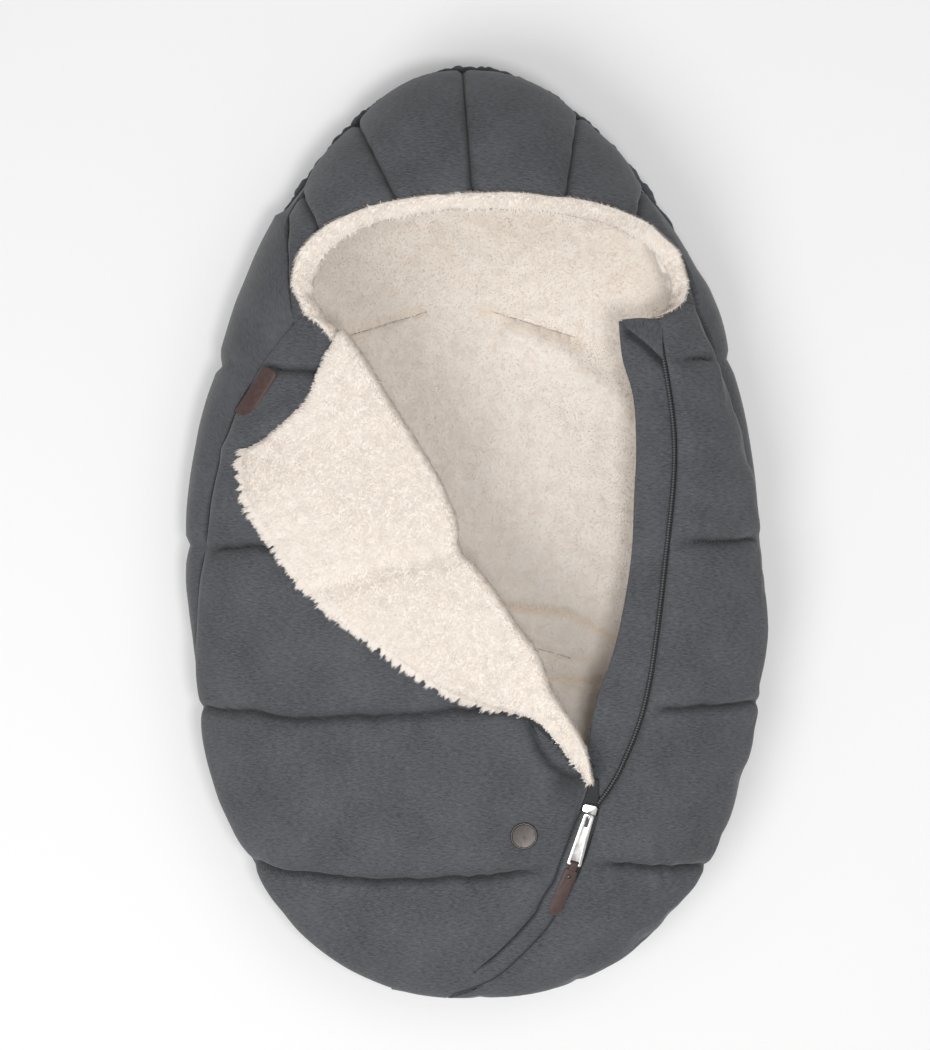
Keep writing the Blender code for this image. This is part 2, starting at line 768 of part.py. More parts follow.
def tube(name, points, radius, recipe, group):
    """Round tube with filled ends through the points."""
    curve = bpy.data.curves.new(name, "CURVE")
    curve.dimensions = "3D"
    curve.bevel_depth = radius
    curve.bevel_resolution = 2
    curve.use_fill_caps = True
    spline = curve.splines.new("POLY")
    spline.points.add(len(points) - 1)
    for point, spot in zip(spline.points, points):
        point.co = (*spot, 1.0)
    return curve_to_mesh(curve, name, recipe, group)


def box(name, low, high, recipe, group):
    bm = bmesh.new()
    bmesh.ops.create_cube(bm, size=1.0)
    size = Vector(high) - Vector(low)
    middle = (Vector(high) + Vector(low)) / 2
    bmesh.ops.transform(bm, matrix=Matrix.Translation(middle) @ Matrix.Diagonal((*size, 1.0)),
                        verts=bm.verts)
    return finish_cutter(mesh_object(name, bm, recipe, group), group)


def turned(name, profile, recipe, group, steps=TURN_STEPS):
    """Solid of revolution about Z from a profile of radius and height, top to bottom."""
    mesh = bpy.data.meshes.new(name)
    edges = [(index, index + 1) for index in range(len(profile) - 1)]
    mesh.from_pydata([(radius, 0.0, height) for radius, height in profile], edges, [])
    item = add_object(name, mesh, recipe, group)
    screw = item.modifiers.new("Turn", "SCREW")
    screw.steps = steps
    screw.render_steps = steps
    screw.use_merge_vertices = True
    screw.merge_threshold = WELD
    return finish_cutter(item, group)


# Flap, folded back over the left cover

def flap_ends(way, zip_inset, fold_inset):
    """Ends of a column of the flap in plan, at the fold and at the zip edge."""
    fold = fold_point(way, FOLD_CLEARANCE + fold_inset)
    edge = smooth_curve([place(pair) for pair in FLAP_ZIP_EDGE], way)
    run = Vector((fold[0] - edge[0], fold[1] - edge[1])).normalized()
    return fold, shift_along(edge, run, zip_inset)


def flap_layer(name, insets, last_way, depths, recipe, group):
    zip_inset, fold_inset = insets
    grids = []
    for depth in depths:
        grid = []
        for index in range(FLAP_COLUMNS + 1):
            fold, edge = flap_ends(last_way * index / FLAP_COLUMNS, zip_inset, fold_inset)
            grid.append(dome_column(fold, edge, depth))
        grids.append(grid)
    return mesh_object(name, slab_mesh(*grids), recipe, group)


def zip_tape(name, line, width, depths, group):
    """Zip tape beside its coil; line(way, offset) gives points in plan off the coil's line."""
    start = COIL_RADIUS + 3 * GAP
    grids = [[[on_dome(line(index / COIL_STEPS, offset), depth)
               for offset in (start, start + width)]
              for index in range(COIL_STEPS + 1)] for depth in depths]
    return mesh_object(name, slab_mesh(*grids), ZIP_BLACK, group)


def zip_coil(name, line, depth, group):
    points = [on_dome(line(index / COIL_STEPS, 0.0), depth) for index in range(COIL_STEPS + 1)]
    return tube(name, points, COIL_RADIUS, ZIP_BLACK, group)


def add_flap(group):
    depths = layer_depths((SHELL, FLAP_WADDING, FLEECE), -FLAP_LIFT, -1)
    pieces = [
        flap_layer("flap_shell", (FLAP_SHELL_INSET, 0.0), FLAP_SHELL_WAY, depths[0], FABRIC, group),
        flap_layer("flap_wadding", (SEAM_ALLOWANCE, LAYER_INSET), FLAP_WADDING_WAY, depths[1],
                   FILLING, group),
        flap_layer("flap_lining", (0.0, 0.0), 1.0, depths[2], FLEECE_CLOTH, group),
    ]

    def line(way, offset):
        return flap_ends(FLAP_TAPE_START + (FLAP_TAPE_WAY - FLAP_TAPE_START) * way,
                         offset + COIL_RADIUS, 0.0)[1]

    start = depths[1][0]
    pieces.append(zip_tape("flap_zip_tape", line, FLAP_TAPE_WIDTH, (start, start - TAPE), group))
    pieces.append(zip_coil("flap_zip_coil", line, start - COIL_RADIUS, group))
    return pieces


def fold_axis():
    """Head end and foot end of the flap's fold, in the gap between the flap and the cover."""
    return on_dome(place(FOLD_TOP), -FLAP_LIFT / 2), on_dome(place(FOLD_FOOT), -FLAP_LIFT / 2)


# Right-hand zip and underlap

def add_right_zip(group):
    def line(way, offset):
        spot = RIGHT_ZIP_START + (RIGHT_ZIP_END - RIGHT_ZIP_START) * way
        return edge_offset(RIGHT_EDGE, spot, COIL_INSET - offset)

    start = SHELL + LAYER_GAP
    zip_tape("right_zip_tape", line, TAPE_WIDTH, (start, start + TAPE), group)
    centre = start + TAPE / 2 - COIL_RADIUS / 4
    zip_coil("right_zip_coil", line, centre, group)
    top = centre + COIL_RADIUS + GAP
    grids = []
    for depth in (top, top + UNDERLAP):
        grid = []
        for index in range(UNDERLAP_COLUMNS + 1):
            way = index / UNDERLAP_COLUMNS
            inner = smooth_curve([place(pair) for pair in UNDERLAP_EDGE], way)
            outer = line(way * UNDERLAP_END, UNDERLAP_SEWN)
            grid.append([on_dome(blend(inner, outer, share), depth) for share in (0, 0.5, 1)])
        grids.append(grid)
    mesh_object("zip_underlap", slab_mesh(*grids), FABRIC, group)


# Closed zip: chain, fly and bottom stop swept along the zip's circle

def swept(name, circle, travels, half_width, low, high, recipe, group):
    """Flat strip along the circle, between two heights off its middle surface."""
    count = max(2, round(abs(travels[1] - travels[0]) / ZIP_STEP))
    grids = []
    for height in (high, low):
        grid = []
        for index in range(count + 1):
            frame = circle.frame(travels[0] + (travels[1] - travels[0]) * index / count)
            grid.append([frame @ Vector((half_width * side, 0.0, height)) for side in (-1, 0, 1)])
        grids.append(grid)
    return mesh_object(name, slab_mesh(*grids), recipe, group)


def add_closed_zip(circle, group):
    tail = math.degrees((SLIDER_LENGTH / 2 + GAP) / circle.radius)
    gap = math.degrees(GAP / circle.radius)
    end = circle.sweep
    half = CHAIN_THICKNESS / 2
    swept("closed_zip_chain", circle, (tail, end), CHAIN_HALF_WIDTH, -half, half, ZIP_BLACK, group)
    stop_end = end + gap + math.degrees(STOP_LENGTH / circle.radius)
    swept("zip_bottom_stop", circle, (end + gap, stop_end), STOP_HALF_WIDTH,
          -half - STOP_PROUD, half, GUNMETAL, group)
    swept("zip_fly", circle, (tail, stop_end + FLY_TAIL), FLY_HALF_WIDTH,
          half + GAP, half + GAP + FLY_THICKNESS, FABRIC, group)


# Slider, puller and leather pull

def rounded_taper(head_width, tail_width, length, corner):
    """Outline from y = 0 down to y = -length, with cut corners."""
    head = head_width / 2
    tail = tail_width / 2
    return [(head - corner, 0), (head, -corner), (tail, -length + corner),
            (tail - corner, -length), (-tail + corner, -length), (-tail, -length + corner),
            (-head, -corner), (-head + corner, 0)]


def shifted(outline, distance):
    return [(x, y + distance) for x, y in outline]


def add_slider(circle, group, cutters):
    frame = circle.frame(0.0)
    half = SLIDER_LENGTH / 2
    outline = shifted(rounded_taper(SLIDER_MOUTH_WIDTH, SLIDER_TAIL_WIDTH, SLIDER_LENGTH,
                                    SLIDER_CORNER), half)
    middle = (SLIDER_THROAT + SLIDER_PLATE) / 2
    body = flat_shape("zip_slider_body", [outline], SLIDER_PLATE, NICKEL, group)
    body.data.transform(Matrix.Translation((0, 0, middle)))
    lower = flat_shape("slider_lower_plate", [outline], SLIDER_PLATE, NICKEL, cutters)
    lower.data.transform(Matrix.Translation((0, 0, -middle)))
    reach = SLIDER_THROAT / 2 + SLIDER_PLATE / 2
    wedge = shifted(rounded_taper(SLIDER_POST_WIDTH, SLIDER_POST_TAIL, SLIDER_POST_LENGTH,
                                  SLIDER_POST_CORNER), half - SLIDER_PLATE / 2)
    post = flat_shape("slider_post", [wedge], 2 * reach, NICKEL, cutters)
    unions = [lower, post]
    flange_low = SLIDER_THROAT / 2 - SLIDER_FLANGE
    for side in (-1, 1):
        edge = side * SLIDER_TAIL_WIDTH / 2
        inner = edge - side * SLIDER_FLANGE
        low = (min(edge, inner), -half + SLIDER_CORNER, flange_low)
        high = (max(edge, inner), 0.0, middle)
        unions.append(box("slider_flange", low, high, NICKEL, cutters))
    pivot = crown_height()
    foot = pivot - CROWN_LEG - SLIDER_PLATE / 2
    arch = [(0, -CROWN_RADIUS, foot)]
    for index in range(ARCH_STEPS + 1):
        turn = math.pi * index / ARCH_STEPS
        arch.append((0, -CROWN_RADIUS * math.cos(turn), pivot + CROWN_RADIUS * math.sin(turn)))
    arch.append((0, CROWN_RADIUS, foot))
    unions.append(tube("slider_crown", arch, CROWN_WIRE, NICKEL, cutters))
    for item in unions:
        item.matrix_world = frame
        boolean(body, item, "UNION")
    body.matrix_world = frame
    return body


def crown_height():
    """Height of the puller's pivot above the middle of the zip."""
    return SLIDER_THROAT / 2 + SLIDER_PLATE + CROWN_LEG


def clearance_at(spot, circle):
    """Height of a point above the muff, its zip fly and its slider."""
    room = spot.z - dome(spot.x, spot.y, 0.0)
    travel = circle.travel(spot)
    if travel > 0:
        local = circle.frame(travel).inverted() @ spot
        if abs(local.x) < FLY_HALF_WIDTH + GAP:
            room = min(room, local.z - CHAIN_THICKNESS / 2 - GAP - FLY_THICKNESS)
    local = circle.frame(0.0).inverted() @ spot
    if abs(local.y) < SLIDER_LENGTH / 2:
        room = min(room, local.z - SLIDER_THROAT / 2 - SLIDER_PLATE)
    return room


def underside(length, half_width, low):
    """Points spread over the underside of a flat bar that hangs from its pivot."""
    return [Vector((side * half_width, -length * step / REST_POINTS, low))
            for side in (-1, -0.5, 0, 0.5, 1) for step in range(1, REST_POINTS + 1)]


def resting_frame(circle, frame, yaw, corners):
    """Turn a flat bar about its pivot until its underside lies just above what is below it."""
    level = frame @ Matrix.Rotation(math.radians(-yaw), 4, "Z")
    pitch = -REST_SWING
    while pitch < REST_SWING:
        tried = level @ Matrix.Rotation(math.radians(pitch + REST_STEP), 4, "X")
        if min(clearance_at(tried @ corner, circle) for corner in corners) < REST_CLEARANCE:
            break
        pitch += REST_STEP
    return level @ Matrix.Rotation(math.radians(pitch), 4, "X")


def add_puller(pivot_frame, group):
    bar = PULLER_BAR / 2
    outer = shifted(rounded_taper(PULLER_HEAD_WIDTH, PULLER_TAIL_WIDTH, PULLER_LENGTH,
                                  PULLER_CORNER), bar)
    eye = shifted(rounded_taper(PULLER_EYE_WIDTH, PULLER_EYE_WIDTH, PULLER_EYE_LENGTH,
                                PULLER_EYE_CORNER), -bar)
    slot = shifted(rounded_taper(TAB_SLOT_WIDTH, TAB_SLOT_WIDTH, TAB_SLOT_LENGTH,
                                 TAB_SLOT_CORNER), bar - PULLER_LENGTH + TAB_BAR + TAB_SLOT_LENGTH)
    puller = flat_shape("zip_puller", [outer, eye, slot], PULLER_THICKNESS, NICKEL, group)
    puller.matrix_world = pivot_frame
    return puller


def add_leather_pull(pivot_frame, group, cutters):
    """Leather strip looped round the puller's tail bar and riveted to itself."""
    inner = TAB_LOOP_RADIUS
    outer = inner + TAB_LEATHER
    ring = []
    hole = []
    for index in range(ARCH_STEPS + 1):
        turn = math.pi * index / ARCH_STEPS
        ring.append((outer * math.cos(turn), outer * math.sin(turn)))
        hole.append((inner * math.cos(turn), inner * math.sin(turn)))
    ring += [(-TAB_LEATHER, -2 * outer), (TAB_LEATHER, -2 * outer)]
    hole.append((0.0, -outer - inner / 2))
    pull = flat_shape("leather_pull", [ring, hole], TAB_SLOT_WIDTH - 4 * GAP, LEATHER, group)
    pull.data.transform(Matrix.Rotation(math.radians(90), 4, "Y"))
    half = TAB_WIDTH / 2
    start = -2 * outer + TAB_LEATHER / 2
    tail = [(half - TAB_CORNER, start), (half, start - TAB_CORNER), (half, -TAB_LENGTH + half),
            (TAB_TIP_HALF_WIDTH, -TAB_LENGTH), (-TAB_TIP_HALF_WIDTH, -TAB_LENGTH),
            (-half, -TAB_LENGTH + half),
            (-half, start - TAB_CORNER), (-half + TAB_CORNER, start)]
    strip = flat_shape("leather_pull_tail", [tail], 2 * TAB_LEATHER - GAP, LEATHER, cutters)
    bore_radius = RIVET_SHANK + GAP
    bore = turned("leather_pull_bore", [(0, CUT_DEPTH), (bore_radius, CUT_DEPTH),
                  (bore_radius, -CUT_DEPTH), (0, -CUT_DEPTH)], LEATHER, cutters, RIVET_STEPS)
    low = TAB_LEATHER + GAP
    high = low + RIVET_HEAD
    edge = low + RIVET_HEAD / 2
    rivet = turned("leather_pull_rivet", [
        (0, high), (RIVET_HEAD_FLAT, high), (RIVET_RADIUS, edge), (RIVET_RADIUS, low),
        (RIVET_SHANK, low), (RIVET_SHANK, -low), (RIVET_RADIUS, -low), (RIVET_RADIUS, -edge),
        (RIVET_HEAD_FLAT, -high), (0, -high)], GUNMETAL, group, RIVET_STEPS)
    seat = pivot_frame @ Matrix.Translation((0, -RIVET_PLACE, 0))
    rivet.matrix_world = seat
    bore.matrix_world = seat
    strip.matrix_world = pivot_frame
    pull.matrix_world = pivot_frame
    boolean(pull, strip, "UNION")
    boolean(pull, bore, "DIFFERENCE")
    return [pull, rivet]


# Badge and side tag

def seat_matrix(point, depth):
    """Frame on the dome whose Z is the surface's normal."""
    up = dome_normal(point)
    turn = up.to_track_quat("Z", "Y").to_matrix().to_4x4()
    return Matrix.Translation(on_dome(point, 0.0) - up * depth) @ turn


def add_badge(covers, group, cutters):
    seat = seat_matrix(place(BADGE_PLACE), 0.0)
    low = GAP
    high = GAP + BADGE_THICKNESS
    rim = BADGE_RADIUS - BADGE_RIM
    post_end = -BADGE_POST_LENGTH
    badge = turned("badge", [
        (0, high - BADGE_DISH), (rim - BADGE_DISH, high - BADGE_DISH), (rim, high),
        (BADGE_RADIUS - BADGE_DISH, high), (BADGE_RADIUS, high - BADGE_DISH), (BADGE_RADIUS, low),
        (BADGE_POST_RADIUS, low), (BADGE_POST_RADIUS, post_end), (0, post_end)], GUNMETAL, group)
    badge.matrix_world = seat
    washer_top = -BADGE_POST_LENGTH + BADGE_WASHER
    bore = BADGE_POST_RADIUS + GAP
    washer = flat_shape("badge_washer", [circle_outline(BADGE_WASHER_RADIUS), circle_outline(bore)],
                        BADGE_WASHER, NICKEL, group)
    washer.matrix_world = seat @ Matrix.Translation((0, 0, washer_top - BADGE_WASHER / 2))
    hole = turned("badge_hole", [(0, CUT_DEPTH), (bore, CUT_DEPTH), (bore, -CUT_DEPTH),
                                 (0, -CUT_DEPTH)], FABRIC, cutters)
    hole.matrix_world = seat
    boolean(covers["left_cover_shell"], hole, "DIFFERENCE")
    pocket = BADGE_WASHER_RADIUS + BADGE_POCKET
    depth = -BADGE_POST_LENGTH - BADGE_POCKET
    cut = turned("badge_pocket", [(0, CUT_DEPTH), (pocket, CUT_DEPTH), (pocket, depth), (0, depth)],
                 FABRIC, cutters)
    cut.matrix_world = seat
    boolean(covers["left_cover_wadding"], cut, "DIFFERENCE")


def circle_outline(radius):
    return [(radius * math.cos(2 * math.pi * index / TURN_STEPS),
             radius * math.sin(2 * math.pi * index / TURN_STEPS)) for index in range(TURN_STEPS)]


def add_side_tag(group):
    first, second, third, fourth = (place(pair) for pair in TAG_CORNERS)
    grids = []
    for depth in (-TAG_LIFT, -TAG_LIFT - TAG_THICKNESS):
        grid = []
        for index in range(TAG_COLUMNS + 1):
            way = index / TAG_COLUMNS
            near = blend(first, fourth, way)
            far = blend(second, third, way)
            grid.append([on_dome(blend(near, far, share), depth) for share in (0, 0.5, 1)])
        grids.append(grid)
    mesh_object("leather_side_tag", slab_mesh(*grids), LEATHER, group)


# Assembly

def build():
    clear_scene()
    group = new_collection(COLLECTION)
    cutters = new_collection(CUTTERS)
    circle = ZipCircle()
    covers = add_covers(circle, group)
    add_hood(group)
    add_back(group, cutters)
    add_right_zip(group)
    add_closed_zip(circle, group)
    add_badge(covers, group, cutters)
    add_side_tag(group)

    head, foot = fold_axis()
    turn = (head - foot).to_track_quat("X", "Z").to_matrix().to_4x4()
    hinge = empty("flap_fold_axis", Matrix.Translation(foot) @ turn, group)
    for piece in add_flap(group):
        hang(piece, hinge, piece.matrix_world.copy())

    axis = Matrix.Translation(circle.centre) @ circle.frame(0.0, 0.0).to_3x3().to_4x4()
    travel = empty("slider_travel_axis", axis, group)
    slider = add_slider(circle, group, cutters)
    hang(slider, travel, slider.matrix_world.copy())

    frame = circle.frame(0.0) @ Matrix.Translation((0, 0, crown_height()))
    bar_y = (PULLER_BAR + TAB_BAR) / 2 - PULLER_LENGTH
    loop = -TAB_LOOP_RADIUS - TAB_LEATHER
    corners = underside(PULLER_LENGTH, PULLER_TAIL_WIDTH / 2, -PULLER_THICKNESS / 2)
    corners += [Vector((side * TAB_SLOT_WIDTH / 2, bar_y, loop)) for side in (-1, 0, 1)]
    puller_frame = resting_frame(circle, frame, PULLER_YAW, corners)
    crown = empty("puller_axis", puller_frame, group, travel)
    puller = add_puller(puller_frame, group)
    hang(puller, crown, puller_frame)

    frame = puller_frame @ Matrix.Translation((0, bar_y, 0))
    corners = underside(TAB_LENGTH, TAB_WIDTH / 2, -TAB_LEATHER)
    tab_frame = resting_frame(circle, frame, TAB_YAW, corners)
    bar = empty("leather_pull_axis", tab_frame, group, crown)
    for piece in add_leather_pull(tab_frame, group, cutters):
        hang(piece, bar, piece.matrix_world.copy())
    bpy.context.view_layer.update()


build()
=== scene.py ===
# Car seat footmuff on its back: quilted grey covers, cream fleece, hood, folded flap and open zip.
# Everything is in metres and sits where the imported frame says.
import json
import math

import bpy
import numpy as np
from mathutils import Matrix, Vector

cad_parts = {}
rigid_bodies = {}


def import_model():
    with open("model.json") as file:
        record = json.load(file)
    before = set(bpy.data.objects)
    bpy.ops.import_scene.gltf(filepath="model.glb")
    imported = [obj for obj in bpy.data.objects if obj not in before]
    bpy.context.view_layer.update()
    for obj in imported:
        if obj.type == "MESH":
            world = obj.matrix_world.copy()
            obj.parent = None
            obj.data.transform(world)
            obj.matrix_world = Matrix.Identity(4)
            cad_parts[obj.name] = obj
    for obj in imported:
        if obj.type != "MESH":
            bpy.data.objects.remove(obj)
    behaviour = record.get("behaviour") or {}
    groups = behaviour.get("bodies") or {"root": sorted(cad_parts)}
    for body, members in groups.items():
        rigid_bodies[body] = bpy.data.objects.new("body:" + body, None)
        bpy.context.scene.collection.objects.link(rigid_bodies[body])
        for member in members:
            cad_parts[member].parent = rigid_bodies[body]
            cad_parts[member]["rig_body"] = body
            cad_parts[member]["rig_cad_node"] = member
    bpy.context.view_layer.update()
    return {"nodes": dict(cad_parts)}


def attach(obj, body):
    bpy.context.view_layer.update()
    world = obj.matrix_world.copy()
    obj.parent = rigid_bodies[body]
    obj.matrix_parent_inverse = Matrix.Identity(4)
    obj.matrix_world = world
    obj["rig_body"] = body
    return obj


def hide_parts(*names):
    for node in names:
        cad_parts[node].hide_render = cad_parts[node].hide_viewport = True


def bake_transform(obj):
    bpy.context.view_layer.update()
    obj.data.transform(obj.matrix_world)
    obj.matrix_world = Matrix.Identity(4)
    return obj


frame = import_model()
print("frame loaded")


# outer form of the muff
muffForm = {
    "halfWidth": 0.2306, "footLength": 0.3290, "headLength": 0.4180, "widestY": -0.0480,
    "footPower": 2.25, "headPower": 1.85, "headLean": -0.008,
    "seamHeight": 0.045, "bodyRise": 0.070, "hoodRise": 0.065,
    "riseStart": -0.200, "riseEnd": 0.258, "risePower": 2.5,
    "domePower": 2.4, "floorPower": 2.6, "floorFlat": 0.70,
}


def endForm(head):
    # power and length of the outline, towards the head or towards the foot
    f = muffForm
    return np.where(head, f["headPower"], f["footPower"]), np.where(head, f["headLength"], f["footLength"])


def leanAt(y):
    f = muffForm
    return f["headLean"] * np.maximum(0.0, (y - f["widestY"]) / f["headLength"]) ** 2


def outlineShare(x, y, depth=0.0):
    # 0 on the middle line and 1 on the outline
    f = muffForm
    power, half = endForm(y > f["widestY"])
    across = np.abs(x - leanAt(y)) / (f["halfWidth"] - depth)
    along = np.abs(y - f["widestY"]) / (half - depth)
    return (across ** power + along ** power) ** (1 / power)


def planPoint(angle, share, depth=0.0):
    # the angle is the one seen when the outline is squeezed to a unit circle
    f = muffForm
    turn = np.radians(angle)
    across, along = np.cos(turn), np.sin(turn)
    power, half = endForm(along > 0)
    radius = share / (np.abs(across) ** power + np.abs(along) ** power) ** (1 / power)
    y = f["widestY"] + radius * along * (half - depth)
    return np.stack([radius * across * (f["halfWidth"] - depth) + leanAt(y), y], axis=-1)


def domeHeight(x, y, depth=0.0):
    f = muffForm
    way = np.clip((y - f["riseStart"]) / (f["riseEnd"] - f["riseStart"]), 0.0, 1.0)
    rise = f["bodyRise"] + f["hoodRise"] * way ** f["risePower"]
    fall = np.maximum(0.0, 1 - outlineShare(x, y, depth) ** f["domePower"])
    return f["seamHeight"] + (rise - depth) * fall ** (1 / f["domePower"])


def floorHeight(share, depth=0.0):
    f = muffForm
    way = np.clip((share - f["floorFlat"]) / (1 - f["floorFlat"]), 0.0, 1.0)
    drop = (1 - way ** f["floorPower"]) ** (1 / f["floorPower"])
    return f["seamHeight"] - (f["seamHeight"] - depth) * drop


def onDome(plan, depth=0.0):
    z = domeHeight(plan[..., 0], plan[..., 1], depth)
    return np.concatenate([plan, z[..., None]], axis=-1)


# small tools for laying out cloth
def lattice(x, y, seed):
    value = np.sin(x * 127.1 + y * 311.7 + seed * 74.7) * 43758.5453
    return value - np.floor(value)


def softNoise(x, y, seed=0):
    # smooth noise from -1 to 1
    x0 = np.floor(x)
    y0 = np.floor(y)
    fx = x - x0
    fy = y - y0
    fx = fx * fx * (3 - 2 * fx)
    fy = fy * fy * (3 - 2 * fy)
    low = lattice(x0, y0, seed) * (1 - fx) + lattice(x0 + 1, y0, seed) * fx
    high = lattice(x0, y0 + 1, seed) * (1 - fx) + lattice(x0 + 1, y0 + 1, seed) * fx
    return (low * (1 - fy) + high * fy) * 2 - 1


def gridNormals(points, wrap=False):
    if wrap:
        ring = np.concatenate([points[-2:-1], points, points[1:2]], axis=0)
        along = np.gradient(ring, axis=0)[1:-1]
    else:
        along = np.gradient(points, axis=0)
    normal = np.cross(along, np.gradient(points, axis=1))
    length = np.linalg.norm(normal, axis=-1, keepdims=True)
    return normal / np.maximum(length, 1e-12)


def faceUp(points, *partners):
    # turns a grid round, with what goes with it, where its faces look down
    if gridNormals(points)[..., 2].mean() < 0:
        points, partners = points[::-1], [partner[::-1] for partner in partners]
    return (points, *partners) if partners else points


def quarterRound(t):
    return np.sqrt(np.clip(1 - (1 - t) ** 2, 0, 1))


def settle(item, body, slot, *nodes, fill=None, bend=None):
    # hides the solids the piece stands for and hangs the piece on what it moves with, or, for a piece given a bend,
    # only bakes its place in; what it is made of is not used
    if nodes:
        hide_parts(*nodes)
    if bend:
        bendAtFold(item)
    else:
        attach(item, body)
    return item


def runLength(points, axis):
    step = np.linalg.norm(np.diff(points, axis=axis), axis=-1)
    start = np.zeros_like(step[:1] if axis == 0 else step[:, :1])
    return np.concatenate([start, np.cumsum(step, axis=axis)], axis=axis)


def clothUv(points):
    # each column of the weave is laid out flat from its start, so it keeps its size down the sides
    start = points[:, :1, :2]
    way = points[:, -1:, :2] - start
    way /= np.maximum(np.linalg.norm(way, axis=-1, keepdims=True), 1e-9)
    return start + way * runLength(points, 1)[..., None]


def evenly(points, count):
    # the same run of plan points, evenly spaced
    run = runLength(points, 0)
    want = np.linspace(0, run[-1], count)
    return np.stack([np.interp(want, run, points[:, axis]) for axis in range(2)], axis=-1)


def between(first, last, rows):
    # rows of points from one run to another
    v = np.linspace(0, 1, rows)[None, :, None]
    return first[:, None] * (1 - v) + last[:, None] * v


def pickOnly(*items):
    bpy.ops.object.select_all(action="DESELECT")
    for item in items:
        item.select_set(True)
    bpy.context.view_layer.objects.active = items[0]


def applyAll(item):
    pickOnly(item)
    for modifier in list(item.modifiers):
        bpy.ops.object.modifier_apply(modifier=modifier.name)


def weigh(item, name, values, steps):
    # gives the points of a laid grid their weights, in even steps
    group = item.vertex_groups.new(name=name)
    level = np.round(np.transpose(values).reshape(-1) * steps).astype(int)
    for value in range(1, steps + 1):
        chosen = np.nonzero(level == value)[0].tolist()
        if chosen:
            group.add(chosen, value / steps, "REPLACE")


def layCloth(name, points, material, thickness=0.0, loft=None, uv=None, closeRing=False, crease=None):
    # a grid is added, its rows and columns are laid over the form, and it gets its thickness
    columns, rows = points.shape[:2]
    bpy.ops.object.select_all(action="DESELECT")
    bpy.ops.mesh.primitive_grid_add(x_subdivisions=columns - 1, y_subdivisions=rows - 1, size=1)
    item = bpy.context.object
    item.name = name
    mesh = item.data
    mesh.name = name
    placed = np.transpose(points, (1, 0, 2)).reshape(-1, 3)
    mesh.vertices.foreach_set("co", placed.astype(np.float32).ravel())
    uv = points[..., :2] if uv is None else uv
    flatUv = np.transpose(uv, (1, 0, 2)).reshape(-1, 2)
    corner = np.empty(len(mesh.loops), dtype=np.int32)
    mesh.loops.foreach_get("vertex_index", corner)
    mesh.uv_layers.active.data.foreach_set("uv", flatUv[corner].astype(np.float32).ravel())
    mesh.materials.clear()
    mesh.materials.append(material)
    # the crease attribute holds the weights of the painted shade that darkens the cloth's colour
    if crease is not None:
        mark = mesh.attributes.new("crease", "FLOAT", "POINT")
        mark.data.foreach_set("value", np.transpose(np.clip(crease, 0, 1)).astype(np.float32).ravel())
    mesh.update()
    if closeRing:
        pickOnly(item)
        bpy.ops.object.mode_set(mode="EDIT")
        bpy.ops.mesh.select_all(action="SELECT")
        bpy.ops.mesh.remove_doubles(threshold=0.00002)
        bpy.ops.object.mode_set(mode="OBJECT")
    if thickness:
        solid = item.modifiers.new("thickness", "SOLIDIFY")
        solid.thickness = thickness
        solid.offset = -1
        if loft is not None:
            weigh(item, "loft", loft, 40)
            solid.vertex_group = "loft"
            solid.thickness_vertex_group = 0.08
        applyAll(item)
        item.vertex_groups.clear()
    pickOnly(item)
    bpy.ops.object.shade_smooth()
    return item


clothSim = {"columns": 170, "rows": 60, "frames": 20, "pressure": 4.0, "cap": 0.006,
            "slackLow": -0.004, "slackHigh": -0.11, "stiffness": 12.0, "bending": 0.12}


def resample(values, spots, count):
    # spreads values given at some whole places over all the places along the first axis
    want = np.arange(count)
    flat = values.reshape(len(spots), -1)
    spread = np.stack([np.interp(want, spots, flat[:, index]) for index in range(flat.shape[1])], axis=1)
    return spread.reshape((count,) + values.shape[1:])


